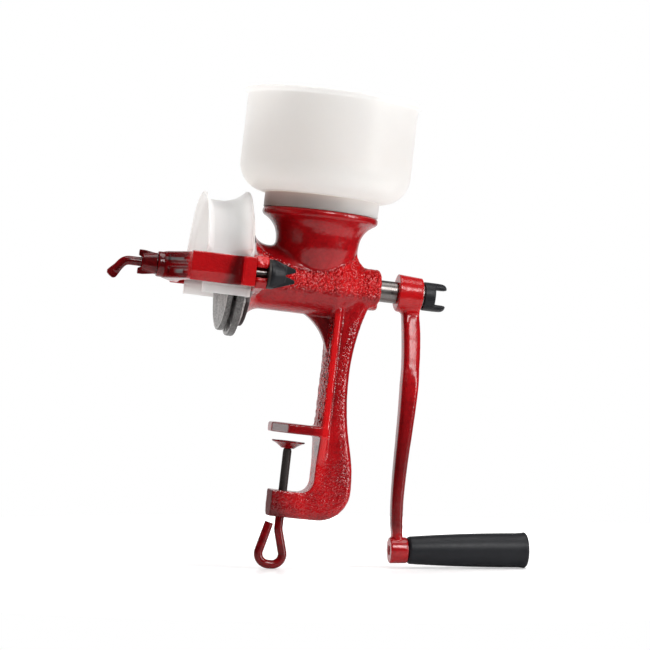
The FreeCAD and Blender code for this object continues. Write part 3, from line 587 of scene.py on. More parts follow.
def helix_tree():
    """Ridge that winds up round Z on a core, run out at both ends: a thread or a flight."""
    reals = ("Radius", "Height", "Root", "Tip", "Sink", "Pitch", "Turns", "Runout")
    inputs = {**dict.fromkeys(reals, "real"), "Steps": "whole", "Finish": "finish"}
    tree, given = start_tree("helical_ridge", **inputs)
    rise = maths(tree, "MULTIPLY", given["Pitch"], given["Turns"])
    inputs = {"Resolution": given["Steps"], "Rotations": given["Turns"], "Height": rise}
    inputs.update({"Start Radius": given["Radius"], "End Radius": given["Radius"]})
    path = put(tree, "GeometryNodeCurveSpiral", inputs)
    path = put(tree, "GeometryNodeSetCurveNormal", {"Curve": path}, mode="Z_UP")
    sunk = maths(tree, "MULTIPLY", given["Sink"], -1.0)
    corners = []
    root, tip = (sunk, given["Root"]), (given["Height"], given["Tip"])
    for (depth, width), side in ((root, -0.5), (tip, -0.5), (tip, 0.5), (root, 0.5)):
        across = maths(tree, "MULTIPLY", width, side)
        corners.append(put(tree, "ShaderNodeCombineXYZ", {0: depth, 1: across}))
    points = {"Point %d" % (index + 1): corner for index, corner in enumerate(corners)}
    profile = put(tree, "GeometryNodeCurvePrimitiveQuadrilateral", points, mode="POINTS")
    along = put(tree, "GeometryNodeSplineParameter").outputs["Factor"]
    to_end = maths(tree, "SUBTRACT", 1.0, along)
    nearest = maths(tree, "MINIMUM", along, to_end)
    runout = maths(tree, "DIVIDE", nearest, given["Runout"])
    scale = maths(tree, "MAXIMUM", maths(tree, "MINIMUM", runout, 1.0), 0.05)
    inputs = {"Curve": path, "Profile Curve": profile, "Scale": scale, "Fill Caps": True}
    ridge = put(tree, "GeometryNodeCurveToMesh", inputs)
    union = put(tree, "GeometryNodeMeshBoolean", operation="UNION", solver="MANIFOLD")
    for mesh in (given["Geometry"], ridge.outputs[0]):
        tree.links.new(mesh, union.inputs["Mesh 2"])
    return end_tree(tree, union, given["Finish"])


def rod_tree():
    """Round rod along a polyline, bent at each point by its own bend radius."""
    inputs = {"Radius": "real", "Sides": "whole", "Steps": "whole", "Finish": "finish"}
    tree, given = start_tree("bent_rod", **inputs)
    path = put(tree, "GeometryNodeMeshToCurve", {"Mesh": given["Geometry"]})
    bend = put(tree, "GeometryNodeInputNamedAttribute", {"Name": "bend"}, data_type="FLOAT")
    inputs = {"Curve": path, "Count": given["Steps"], "Radius": bend, "Limit Radius": True}
    path = put(tree, "GeometryNodeFilletCurve", inputs, mode="POLY")
    inputs = {"Resolution": given["Sides"], "Radius": given["Radius"]}
    ring = put(tree, "GeometryNodeCurvePrimitiveCircle", inputs)
    inputs = {"Curve": path, "Profile Curve": ring, "Fill Caps": True}
    return end_tree(tree, put(tree, "GeometryNodeCurveToMesh", inputs), given["Finish"])


def ring_tree():
    """Copies of the piece, evenly turned about X."""
    tree, given = start_tree("ring_copies", Count="whole", Finish="finish")
    places = put(tree, "GeometryNodePoints", {"Count": given["Count"]})
    step = maths(tree, "DIVIDE", 2 * math.pi, given["Count"])
    angle = maths(tree, "MULTIPLY", put(tree, "GeometryNodeInputIndex"), step)
    about_x = put(tree, "ShaderNodeCombineXYZ", {0: angle})
    turn = put(tree, "FunctionNodeEulerToRotation", {0: about_x})
    inputs = {"Points": places, "Instance": given["Geometry"], "Rotation": turn}
    copies = put(tree, "GeometryNodeInstanceOnPoints", inputs)
    return end_tree(tree, copies, given["Finish"])


def skin_tree():
    """Uneven sand-cast skin, as coarse at each point as its grain says."""
    tree, given = start_tree("cast_skin", Depth="real", Lump="real", Finish="finish")
    where = put(tree, "GeometryNodeInputPosition")
    scale = maths(tree, "DIVIDE", 1.0, given["Lump"])
    lumps = put(tree, "ShaderNodeTexNoise", {"Vector": where, "Scale": scale, "Detail": 2.0})
    broad = maths(tree, "MULTIPLY", scale, 0.28)
    waves = put(tree, "ShaderNodeTexNoise", {"Vector": where, "Scale": broad, "Detail": 0.0})
    height = maths(tree, "ADD", lumps, maths(tree, "MULTIPLY", waves, 0.7))
    height = maths(tree, "SUBTRACT", height, 0.92)
    grain = put(tree, "GeometryNodeInputNamedAttribute", {"Name": "grain"}, data_type="FLOAT")
    height = maths(tree, "MULTIPLY", height, maths(tree, "MULTIPLY", grain, given["Depth"]))
    height = maths(tree, "MULTIPLY", height, 4.0)
    inputs = {0: put(tree, "GeometryNodeInputNormal"), "Scale": height}
    offset = put(tree, "ShaderNodeVectorMath", inputs, operation="SCALE")
    inputs = {"Geometry": given["Geometry"], "Offset": offset}
    moved = put(tree, "GeometryNodeSetPosition", inputs)
    return end_tree(tree, moved, given["Finish"])


TREES = {"helix": helix_tree, "rod": rod_tree, "ring": ring_tree, "skin": skin_tree}


@cache
def tree_for(name):
    return TREES[name]()


# Finishes


def toned(tone, share):
    return tuple(min(c * share, 1.0) for c in tone)


def spread(tree, value, given, wanted):
    """Value moved from the given range to the wanted one and kept inside it."""
    ends = {"From Min": given[0], "From Max": given[1], "To Min": wanted[0], "To Max": wanted[1]}
    return put(tree, "ShaderNodeMapRange", {"Value": value, **ends}).outputs[0]


def straight_rays(tree):
    """Outputs of a Light Path, and 1 for rays from the camera, also through clear pieces."""
    rays = put(tree, "ShaderNodeLightPath").outputs
    return rays, maths(tree, "MAXIMUM", rays["Is Camera Ray"], rays["Is Transmission Ray"])


class Finish:
    """Material in the making: its tree, its shader and the place on the piece."""

    def __init__(self, name, constants):
        self.material = bpy.data.materials.new(name)
        self.material.use_nodes = True
        self.tree = self.material.node_tree
        self.shader = self.tree.nodes["Principled BSDF"]
        self.place = put(self.tree, "ShaderNodeTexCoord").outputs["Object"]
        for label, value in constants.items():
            self.shader.inputs[label].default_value = value

    def maths(self, operation, first, second):
        return maths(self.tree, operation, first, second)

    def noise(self, scale, detail=2.0, roughness=0.5, place=None):
        """Noise with about as many lumps to a metre as the scale says."""
        inputs = {"Scale": scale, "Detail": detail, "Roughness": roughness}
        inputs["Vector"] = self.place if place is None else place
        return put(self.tree, "ShaderNodeTexNoise", inputs).outputs["Fac"]

    def point_value(self, name):
        return put(self.tree, "ShaderNodeAttribute", attribute_name=name).outputs["Fac"]

    def spread(self, value, given, wanted):
        return spread(self.tree, value, given, wanted)

    def blend(self, factor, first, second):
        """Mix of two colours, each a plain colour or the output of a node."""
        node = put(self.tree, "ShaderNodeMix", {"Factor": factor}, data_type="RGBA")
        for socket, tone in ((node.inputs[6], first), (node.inputs[7], second)):
            if isinstance(tone, bpy.types.NodeSocket):
                self.tree.links.new(tone, socket)
            else:
                socket.default_value = (*tone, 1.0)
        return node.outputs[2]

    def paint(self, thin, thick):
        """Colour of paint that lies thick and thin in patches and specks."""
        patches = self.maths("MULTIPLY", self.noise(38, detail=3.0), 0.6)
        specks = self.maths("MULTIPLY", self.noise(330), 0.4)
        tone = self.spread(self.maths("ADD", patches, specks), (0.36, 0.6), (0.0, 1.0))
        return self.blend(tone, thin, thick)

    def drive(self, label, value):
        """Links one of the shader's inputs to a node or to its output."""
        if isinstance(value, bpy.types.Node):
            value = value.outputs[0]
        self.tree.links.new(value, self.shader.inputs[label])

    def roughen(self, pattern, wanted):
        """Roughness in the wanted range, by a noise."""
        self.drive("Roughness", self.spread(pattern, NOISE_RANGE, wanted))

    def bump(self, height, distance, strength):
        inputs = {"Height": height, "Distance": distance, "Strength": strength}
        self.drive("Normal", put(self.tree, "ShaderNodeBump", inputs))


def cast_red():
    """Gloss red on castings: coarse by their grain, with painted shade and highlights by shade and
    relief.
    """
    tones = settings().colours
    look = Finish("red_paint_on_casting", {"Specular IOR Level": 0.4})
    shade, grain = look.point_value("shade"), look.point_value("grain")
    cells = {"Vector": look.place, "Scale": 520.0, "Smoothness": 0.4}
    sand = put(look.tree, "ShaderNodeTexVoronoi", cells, feature="SMOOTH_F1").outputs["Distance"]
    sand = look.maths("MULTIPLY", look.maths("SUBTRACT", 0.42, sand), 0.7)
    lumps = look.maths("MULTIPLY", look.maths("SUBTRACT", look.noise(300), 0.5), 1.9)
    lumps = look.maths("MULTIPLY", lumps, grain)
    relief = look.maths("MULTIPLY", look.maths("ADD", lumps, sand), grain).outputs[0]
    base = look.paint(tones.deep_red, tones.red)
    # painted shade in the relief's pits and painted highlights on its lumps, then painted shade and
    # light by each point's shade
    for value, given, most, tone in (
        (relief, (-0.06, -0.34), 0.35, tones.dark_red_and_painted_shade),
        (relief, (0.04, 0.3), 0.8, tones.painted_highlight_red),
        (shade, (0.1, 1.0), 0.9, tones.dark_red_and_painted_shade),
        (shade, (-0.1, -1.0), 0.9, tones.painted_highlight_red),
    ):
        base = look.blend(look.spread(value, given, (0.0, most)), base, tone)
    # iron grey where the paint has gone at the jaw's tip, dark grey behind the fixed plate, and
    # painted glints in the yoke's grooves
    iron = look.blend(look.spread(shade, (0.3, 1.0), (0.0, 1.0)), tones.worn_and_glint_grey, tones.blackened)
    look.drive("Base Color", look.blend(look.point_value("iron_grey_and_painted_glint"), base, iron))
    gloss = look.spread(grain, (0.0, 0.8), (0.18, 0.11))
    gloss = look.maths("ADD", gloss, look.maths("MULTIPLY", look.noise(60), 0.06))
    gloss = look.maths("ADD", gloss, look.spread(shade, (0.85, 1.2), (0.0, 0.45)))
    look.drive("Roughness", gloss)
    peel = look.maths("MULTIPLY", look.noise(150), 0.04)
    look.bump(look.maths("ADD", relief, peel), distance=0.0018, strength=0.9)
    return look.material


def rod_red():
    """Thin gloss red on rods and small forgings."""
    tones = settings().colours
    look = Finish("red_paint_on_rod", {"Specular IOR Level": 0.3})
    look.drive("Base Color", look.paint(tones.dark_red_and_painted_shade, toned(tones.deep_red, 0.8)))
    look.roughen(look.noise(60), (0.16, 0.24))
    look.bump(look.noise(150), distance=0.0006, strength=0.12)
    return look.material


def milky_plastic():
    """Milky plastic, greyer where iron shows through and where painted shade lies on its sides and
    rims.
    """
    tones = settings().colours
    look = Finish(
        "milky_plastic",
        {
            "Subsurface Weight": 0.9,
            "Subsurface Radius": (1.0, 0.96, 0.92),
            "Subsurface Scale": 0.025,
            "Transmission Weight": 0.1,
            "IOR": 1.35,
            "Specular IOR Level": 0.3,
        },
    )
    warm = (tones.milky[0], tones.milky[1] * 0.985, tones.milky[2] * 0.955)
    clear = look.blend(look.noise(22, detail=3.0), tones.milky, warm)
    look.drive("Base Color", look.blend(look.point_value("veil_and_painted_shade"), clear, tones.veiled_iron_and_painted_shade))
    look.roughen(look.noise(500), (0.3, 0.42))
    look.bump(look.noise(160), distance=0.0004, strength=0.12)
    return look.material


def black_plastic():
    """Fine-grained black plastic, a little lighter in patches of wear."""
    tone = settings().colours.black
    look = Finish("black_plastic", {"Specular IOR Level": 0.2})
    look.drive("Base Color", look.blend(look.noise(90, detail=4.0), tone, toned(tone, 1.7)))
    look.roughen(look.noise(420, detail=3.0), (0.36, 0.5))
    look.bump(look.noise(1900), distance=0.00025, strength=0.3)
    return look.material


def turned_steel():
    """Stained steel with the fine rings of a lathe about the shaft's way."""
    tone = settings().colours.steel
    look = Finish("turned_steel", {"Metallic": 1.0})
    stretch = {"Vector": look.place, "Scale": (3200.0, 60.0, 60.0)}
    rings = look.noise(1.0, place=put(look.tree, "ShaderNodeMapping", stretch))
    look.drive("Base Color", look.blend(look.noise(120, detail=4.0), toned(tone, 0.55), tone))
    look.roughen(rings, (0.26, 0.44))
    look.bump(rings, distance=0.0002, strength=0.25)
    return look.material


def raw_iron():
    """Raw cast iron, darker and brighter by its shade."""
    tone = settings().colours.iron
    look = Finish("raw_iron", {"Metallic": 0.8})
    grit = look.noise(620, detail=3.0, roughness=0.65)
    shade = look.point_value("shade")
    coarse = look.maths("MULTIPLY", look.noise(130, detail=3.0), 0.3)
    mixed = look.maths("ADD", look.maths("MULTIPLY", grit, 0.7), coarse)
    base = look.blend(look.spread(mixed, (0.4, 0.56), (0.0, 1.0)), toned(tone, 0.3), tone)
    base = look.blend(look.spread(shade, (0.0, 1.0), (0.0, 0.75)), base, toned(tone, 0.08))
    base = look.blend(look.spread(shade, (0.0, -1.0), (0.0, 0.5)), base, toned(tone, 1.5))
    look.drive("Base Color", base)
    look.roughen(grit, (0.36, 0.55))
    look.bump(grit, distance=0.0007, strength=0.8)
    return look.material


def blackened_steel():
    """Oiled, blackened steel with brighter specks."""
    tone = settings().colours.blackened
    look = Finish("blackened_steel", {"Metallic": 0.15, "Specular IOR Level": 0.25})
    look.drive("Base Color", look.blend(look.noise(700, detail=3.0), tone, toned(tone, 2.6)))
    look.roughen(look.noise(300), (0.38, 0.55))
    look.bump(look.noise(1600), distance=0.0002, strength=0.3)
    return look.material


FINISHES = {
    "cast_red": cast_red,
    "rod_red": rod_red,
    "milky": milky_plastic,
    "black": black_plastic,
    "steel": turned_steel,
    "iron": raw_iron,
    "blackened": blackened_steel,
}


@cache
def finish_for(name):
    return FINISHES[name]()


# Rods, washers and pieces of two finishes


def at_shaft(along, away=Vector()):
    """Move to a place along the shaft axis in millimetres, or away from that axis in metres."""
    return Matrix.Translation(SHAFT + away + Vector((along * MM, 0, 0)))


def threaded_rod(name, length_mm, finish, chamfer=0.8):
    """Threaded rod that stands on the origin along Z, in metres."""
    sizes = settings().thread
    core = (sizes.radius - sizes.depth) / MM
    outline = [(0, 0), (0, core - chamfer), (chamfer, core), (length_mm - chamfer, core)]
    outline += [(length_mm, core - chamfer), (length_mm, 0)]
    shape = bmesh.new()
    spin(shape, outline, steps=32)
    rod = piece_from(shape, name, IN_FRAME @ UPRIGHT)
    turns = (length_mm * MM - 2 * sizes.pitch) / sizes.pitch
    rod.data.transform(Matrix.Translation((0, 0, -sizes.pitch)))
    grow(
        rod,
        tree_for("helix"),
        Radius=sizes.radius - sizes.depth,
        Height=sizes.depth,
        Root=sizes.pitch * 0.9,
        Tip=sizes.pitch * 0.34,
        Sink=sizes.depth * 0.5,
        Pitch=sizes.pitch,
        Turns=turns,
        Steps=28,
        Runout=1.0 / turns,
        Finish=finish,
    )
    rod.data.transform(Matrix.Translation((0, 0, sizes.pitch)))
    return rod


def bent_rod(name, points, bends, radius_mm, finish, sides=32):
    """Round rod through points of the XZ plane in millimetres."""
    mesh = bpy.data.meshes.new(name)
    chain = [(index, index + 1) for index in range(len(points) - 1)]
    mesh.from_pydata([(x * MM, 0, z * MM) for x, z in points], chain, [])
    rod = add_object(name, mesh)
    store(rod, "bend", [bend * MM for bend in bends])
    sizes = {"Radius": radius_mm * MM, "Sides": sides, "Steps": 14}
    return grow(rod, tree_for("rod"), Finish=finish, **sizes)


def washer(name, low, radius, place):
    """Flat washer on the shaft's way, from low on."""
    high = low + WASHER
    ring = [(low, WASHER_HOLE), (low, radius), (high, radius), (high, WASHER_HOLE)]
    return spun(name, ring, place, soft=0.35, steps=64)


def together(piece, *others):
    """Puts the others' meshes into the piece's, with their materials."""
    shape = bmesh.new()
    shape.from_mesh(piece.data)
    materials = list(piece.data.materials)
    for other in others:
        first = len(shape.faces)
        shape.from_mesh(other.data)
        shape.faces.ensure_lookup_table()
        for material in other.data.materials:
            if material not in materials:
                materials.append(material)
        for face in shape.faces[first:]:
            if other.data.materials:
                face.material_index = materials.index(other.data.materials[face.material_index])
        discard(other)
    piece.data.materials.clear()
    for material in materials:
        piece.data.materials.append(material)
    shape.to_mesh(piece.data)
    shape.free()
    return piece


# Operators


class PieceOperator:
    """What the operators share: each makes its pieces from the scene's settings."""

    bl_options = {"REGISTER", "UNDO"}

    def execute(self, context):
        self.make(context.scene.mill)
        return {"FINISHED"}


class MILL_OT_casting(PieceOperator, bpy.types.Operator):
    """Cast body with its barrel, mouth, lugs, leg and clamp frame"""

    bl_idname = "mill.casting"
    bl_label = "Cast Body"
    WAIST = 32.0  # narrow height of the mouth's throat above the shaft axis
    WAIST_REACH = 11.0
    SADDLE_X = -5.0  # lowest place of the edge between the throat and the coarse saddle
    SADDLE_Z = 8.5
    SADDLE_RISE = 16.5  # what that edge gains in height over its reach
    SADDLE_REACH = (48.0, 36.5)  # to the front and to the back
    SADDLE_FOOT = (-9, -3)  # heights from the shaft axis where the saddle starts
    LEG_FRONT = 24.0
    CAP_BACK = 31.0  # back of the leg's wide front plate
    LEG_TOP = 102.0
    ARM_TOP = (-42, -48)  # heights where the clamp's lower arm starts
    FOOT = -80.0
    ROWS = 100  # rows of points in which the leg's back edge is found
    ROW_HEIGHT = 3.0

    def make(self, mill):
        piece = cad_copy("body_casting", "casting")
        sizes = mill.casting
        passes = {"fillets": sizes.fillet_passes, "edges": sizes.edge_passes}
        corners = cast_shape(piece, sizes.voxel, self.free, **passes)
        points = coords(piece) / MM
        height = shaft_xyz(points)[2]
        waist = np.clip(1.4 - np.abs(height - self.WAIST) / self.WAIST_REACH, 0, 1)
        relax(piece, passes=45, weight=waist)
        relax(piece, passes=50, weight=self.leg_root(points))
        edge = self.above_saddle(points)
        raised = 0.5 * ramp(edge, 1.5, 0) * ramp(height, *self.SADDLE_FOOT)
        raised += 0.9 * ramp(points[:, 0], 12, 24) * hill(edge, -0.6, 1.4)
        swell(piece, raised * (np.abs(points[:, 1]) > 12) * self.free(points))
        points = coords(piece) / MM
        # painted shade in the inner corners, added to the painted shade and light of self.shade
        shade = corners + self.shade(points, normals_of(piece))
        set_skin(piece, self.grain(points), shade)
        store(piece, "iron_grey_and_painted_glint", np.maximum(self.jaw_tip(points), self.flange(points)))
        grow_skin(piece, sizes, "mill_body", "body_casting")

    @staticmethod
    def free(points):
        """0 on the shaft's bearing and in the clamp screw's bore."""
        x, y, z = shaft_xyz(points)
        bearing = (np.hypot(y, z) < 11) & (x > 20)
        bore = (np.hypot(points[:, 0], points[:, 1]) < KEPT_BORE) & (points[:, 2] < -45)
        return np.where(bearing | bore, 0.0, 1.0)

    def leg_root(self, points):
        """1 where the leg's side runs out on the barrel."""
        x, y, z = points.T
        side = (np.abs(y) > 8) * self.free(points)
        return band(z, 90, 97, 114, 122) * ramp(x, 30, 36) * side

    def above_saddle(self, points):
        """Height above the edge where the throat meets the saddle."""
        x, _, z = shaft_xyz(points)
        reach = np.where(x < self.SADDLE_X, *self.SADDLE_REACH)
        return z - self.SADDLE_Z - self.SADDLE_RISE * ((x - self.SADDLE_X) / reach) ** 2

    def front_plate(self, points):
        """1 on the narrow side of the leg's wide front plate."""
        x, y, z = points.T
        front, back = self.LEG_FRONT, self.CAP_BACK
        across = band(x, front + 0.3, front + 0.9, back - 2, back)
        return across * band(z, -22, -14, 104, 112) * (np.abs(y) > 10)

    def from_back(self, points):
        """Distance of each point from the leg's back edge at its height."""
        row = (points[:, 2] - self.FOOT) / self.ROW_HEIGHT
        row = np.clip(row, 0, self.ROWS - 1).astype(int)
        edge = np.full(self.ROWS, -np.inf)
        np.maximum.at(edge, row, points[:, 0])
        return edge[row] - points[:, 0]

    @staticmethod
    def jaw_tip(points):
        """Bare on the slanting corners of the jaw's tip."""
        x, y, z = points.T
        corner = ramp(np.abs(y) - x, 27.3, 28.1) * ramp(x, -17.6, -17.1)
        return 0.85 * corner * (z > -1) * (z < 10)

    @staticmethod
    def flange(points):
        """Dark grey in place of the red on the edge behind the fixed plate."""
        x, y, z = shaft_xyz(points)
        edge = ramp(x, BODY_FRONT + 6, BODY_FRONT + 4) * (np.hypot(y, z) > 36)
        return 0.9 * edge * (np.abs(y) < 50)

    def shade(self, points, normals):
        """Painted shade at the jaw, the arm's tip and along the leg, painted light on its plate and
        saddle.

        The ranges are millimetres: where a tone starts and where it is full.
        """
        x, y, z = points.T
        height = shaft_xyz(points)[2]
        ahead = ramp(normals[:, 0], -0.5, -0.9)  # 1 on sides that face the plates' end
        leg = ramp(z, self.LEG_TOP + 6, self.LEG_TOP)
        arm = ramp(z, *self.ARM_TOP)
        valley = 0.6 * hill(x, 33.0, 1.7) * leg * ramp(z, 0, 12)
        back = 0.45 * ramp(self.from_back(points), 6, 2) * leg * ramp(z, 0, 15)
        gusset = 0.55 * ramp(x, 23.5, 22) * ramp(z, 50, 60) * leg
        jaw = 0.6 * (z > -1) * (z < 9.5) * ramp(x, 22, 16)
        tip = (0.65 * ramp(x, 6, -6) + 0.6 * ahead * (x < 0)) * arm
        under = 0.4 * ramp(z, -60, -70) * arm
        inside = 0.9 * ahead * (x > 0) * ramp(y, 8, -2) * band(z, -48, -36, -8, -1)
        throat = 0.4 * ramp(x, 0, -28) * band(height, 12, 18, 50, 58)
        # dark sums the painted shade, with the dark grey edge behind the fixed plate; warm, the
        # front plate and the saddle are painted light
        dark = valley + back + jaw + tip + under + gusset + inside + throat + self.flange(points)
        warm = 0.5 * hill(x, 14, 8) * arm + 0.7 * ramp(x, 36, 28) * band(z, -50, -40, -20, -12)
        saddle = ramp(self.above_saddle(points), 0, -3) * ramp(height, *self.SADDLE_FOOT)
        return dark - warm - self.front_plate(points) - 0.95 * saddle

    def grain(self, points):
        """Coarse on the saddle and in a strip down the leg, fine elsewhere."""
        x, y, z = shaft_xyz(points)
        height = points[:, 2]
        saddle = ramp(self.above_saddle(points), 1.0, -0.5)
        saddle = 1.1 * saddle * (0.1 + 0.9 * ramp(z, -11, -5))
        saddle *= 1 - 0.6 * ramp(np.abs(y), 46, 50)
        chamber = (np.hypot(y, z) < CHAMBER) & (x < 27)
        saddle = np.where(chamber, 0.25, saddle + 0.1)
        strip = hill(self.from_back(points), 8.0, 3.0) * ramp(height, -48, -25)
        inner = (1.0 + ramp(y, 4, 0)) * hill(points[:, 0], self.LEG_FRONT, 0.7) * (height > 9)
        leg = 0.14 + 0.24 * ramp(height, -10, -30) + 0.36 * strip * (np.abs(y) > 8)
        leg = np.maximum(leg * (1 - 0.85 * self.front_plate(points)), inner)
        share = ramp(height, self.LEG_TOP + 6, self.LEG_TOP - 6)
        weight = saddle * (1 - share) + leg * share
        weight *= ramp(x, BODY_FRONT, BODY_FRONT + 5)
        jaw = (np.abs(height) < 1.5) & (points[:, 0] < 25)
        return weight * self.free(points) * np.where(jaw, 0.0, 1.0)


class MILL_OT_hopper(PieceOperator, bpy.types.Operator):
    """Lift-off hopper bowl with its neck"""

    bl_idname = "mill.hopper"
    bl_label = "Hopper"
    LIP, FLOOR = 61.0, 74.0  # heights above the shaft axis
    NECK, SOCKET, HOLE = 50.0, 46.3, 42.0  # radii
    SOCKET_DEPTH = 9.3
    CORNER = 28.0
    RIM, RIM_HEIGHT = 3.0, 2.0

    def make(self, mill):
        sizes = mill.plastic
        bowl, top, wall = sizes.bowl_radius / MM, sizes.bowl_top / MM, sizes.wall / MM
        inner = bowl - wall
        bend = self.FLOOR + self.CORNER
        low_in = (inner - self.CORNER + wall, self.FLOOR + wall)
        quarter = 1 - math.sqrt(0.5)  # bow of a quarter circle for each unit of its radius
        edge, flare = top - self.RIM_HEIGHT, top - self.RIM_HEIGHT - self.RIM
        seat = self.LIP + self.SOCKET_DEPTH
        outline = [(self.SOCKET, self.LIP), (self.NECK, self.LIP), (self.NECK, self.FLOOR)]
        outline += arc((self.NECK, self.FLOOR), (bowl, bend), -self.CORNER * quarter, 20)
        outline += [(bowl, flare), (bowl + self.RIM, edge), (bowl + self.RIM, top)]
        outline += [(inner + self.RIM, top), (inner, flare), (inner, bend)]
        outline += arc((inner, bend), low_in, (self.CORNER - wall) * quarter, 20)
        outline += [(self.HOLE, self.FLOOR + wall), (self.HOLE, seat), (self.SOCKET, seat)]
        place = ON_SHAFT @ UPRIGHT
        piece = spun("hopper_bowl", standing(outline), place, soft=0.8, steps=160)
        x, _, z = shaft_xyz(coords(piece) / MM)
        # painted shade greys the bowl towards its sides and at its rim; the mouth seen through the
        # collar is also darker to the left as painted shade
        sides = 0.1 * ramp(x, 0, -bowl) + 0.1 * ramp(x, 15, 60)
        iron = 0.5 - 0.35 * np.clip(x / self.NECK, -1, 1)  # the mouth seen through the collar
        collar = iron * ramp(z, self.FLOOR + 1, self.FLOOR - 1)
        store(piece, "veil_and_painted_shade", sides + collar + 0.06 * ramp(z, top - 4, top - 2))
        hand_in(piece, finish_for("milky"), "hopper", "milky_plastic", "hopper")


class MILL_OT_plates(PieceOperator, bpy.types.Operator):
    """Fixed and turning grinding plates with the fixed plate's screws"""

    bl_idname = "mill.plates"
    bl_label = "Grinding Plates"
    FIXED, TURNING = 54.5, 50.5  # outer radii
    REGISTER = 47.0  # step behind the fixed plate, which centres it
    HUB, HUB_BORE, HUB_LENGTH = 19.0, 9.6, 7.0
    FURROW_START = 27.7
    SCREWS = 3
    SCREW_CIRCLE = 34.5
    SCREW_SEAT = FIXED_FACE + 5
    SCREW_RADIUS, SCREW_HEAD, HEAD_HOLE = 2.5, 4.8, 5.1
    VOXEL = 0.00085

    def make(self, mill):
        outline = [(BODY_FRONT, CHAMBER), (BODY_FRONT, self.REGISTER), (FIXED_BACK, self.REGISTER)]
        outline += [(FIXED_BACK, self.FIXED), (FIXED_FACE, self.FIXED), (FIXED_FACE, CHAMBER)]
        fixed = spun("fixed_plate", outline, ON_SHAFT)
        self.furrow(mill, fixed, FIXED_FACE, 1, self.FIXED)
        hole = bmesh.new()
        front, seat = FIXED_FACE - 3, self.SCREW_SEAT
        wide, stem = self.HEAD_HOLE, self.SCREW_RADIUS
        outline = [(front, 0), (front, wide), (seat, wide), (seat, stem), (0, stem), (0, 0)]
        spin(hole, outline, steps=40)
        bmesh.ops.translate(hole, vec=(0, 0, self.SCREW_CIRCLE), verts=hole.verts)
        combine(fixed, self.ring(hole, "screw_holes", self.SCREWS), "DIFFERENCE")
        self.cast(fixed, "mill_body", "stationary_plate", self.FIXED)
        end = TURNING_FACE - self.HUB_LENGTH
        outline = [(TURNING_BACK, self.HUB_BORE), (TURNING_BACK, self.TURNING)]
        outline += [(TURNING_FACE, self.TURNING), (TURNING_FACE, self.HUB), (end, self.HUB)]
        turning = spun("turning_plate", outline + [(end, self.HUB_BORE)], ON_SHAFT)
        self.furrow(mill, turning, TURNING_BACK, -1, self.TURNING)
        slot = bar("pin_slot", 20, PIN + 0.05, TURNING_FACE - 9, TURNING_FACE, ON_SHAFT)
        combine(turning, slot, "DIFFERENCE")
        self.cast(turning, "spindle", "rotating_plate", self.TURNING)
        self.screws()

    def furrow(self, mill, plate, face, way, outer):
        """Cuts slanting furrows into a plate's face; way is the side that they slant to."""
        sizes = mill.plates
        half, deep = sizes.furrow_width / MM / 2, sizes.furrow_depth / MM
        start, end = self.FURROW_START, outer - 2 * half
        cutter = bmesh.new()
        across = [(-half, start), (half, start), (half, end), (-half, end)]
        prism(cutter, across, in_yz, face - deep, face + deep)
        slant = Matrix.Rotation(way * sizes.furrow_tilt, 4, "X")
        bmesh.ops.rotate(cutter, cent=(0, 0, start), matrix=slant, verts=cutter.verts)
        combine(plate, self.ring(cutter, "furrows", sizes.furrows), "DIFFERENCE")

    @staticmethod
    def ring(shape, name, count):
        """Shape about the shaft axis, copied round it."""
        piece = piece_from(shape, name, IN_FRAME)
        grow(piece, tree_for("ring"), Count=count)
        piece.data.transform(Matrix.Translation(SHAFT))
        return piece

    def cast(self, plate, body, node, outer):
        """Gives a plate its raw skin, darker on the rim and paler in a ring just inside its edge.
        """
        remesh(plate, self.VOXEL)
        relax(plate, passes=1, weight=everywhere(plate.data.vertices))
        x, y, z = shaft_xyz(coords(plate) / MM)
        radius = np.hypot(y, z)
        paler_ring = hill(radius, outer - 1.8, 0.9)
        set_skin(plate, everywhere(x) * 0.6, ramp(radius, outer - 1.2, outer - 0.5) - paler_ring)
        iron = finish_for("iron")
        grow(plate, tree_for("skin"), Depth=0.00014, Lump=0.0024, Finish=iron)
        hand_in(plate, iron, body, "raw_iron", node)

    def screws(self):
        """Slotted screws of the fixed plate, all in one piece."""
        seat, end = self.SCREW_SEAT, FIXED_FACE + 13
        head, stem = self.SCREW_HEAD, self.SCREW_RADIUS
        outline = [(seat - 2.5, 0), (seat - 2.5, head - 0.6), (seat - 1.9, head), (seat, head)]
        outline += [(seat, stem), (FIXED_FACE + 12.4, stem), (end, stem - 0.6), (end, 0)]
        screw = spun("plate_screws", outline, IN_FRAME, soft=0.3, steps=40)
        combine(screw, bar("screw_slot", 6, 0.6, seat - 4, seat - 1.4, IN_FRAME), "DIFFERENCE")
        screw.data.transform(Matrix.Translation((0, 0, self.SCREW_CIRCLE * MM)))
        steel = finish_for("steel")
        grow(screw, tree_for("ring"), Count=self.SCREWS, Finish=steel)
        screw.data.transform(Matrix.Translation(SHAFT))
        hand_in(screw, steel, "mill_body", "steel", "stationary_plate_screws")


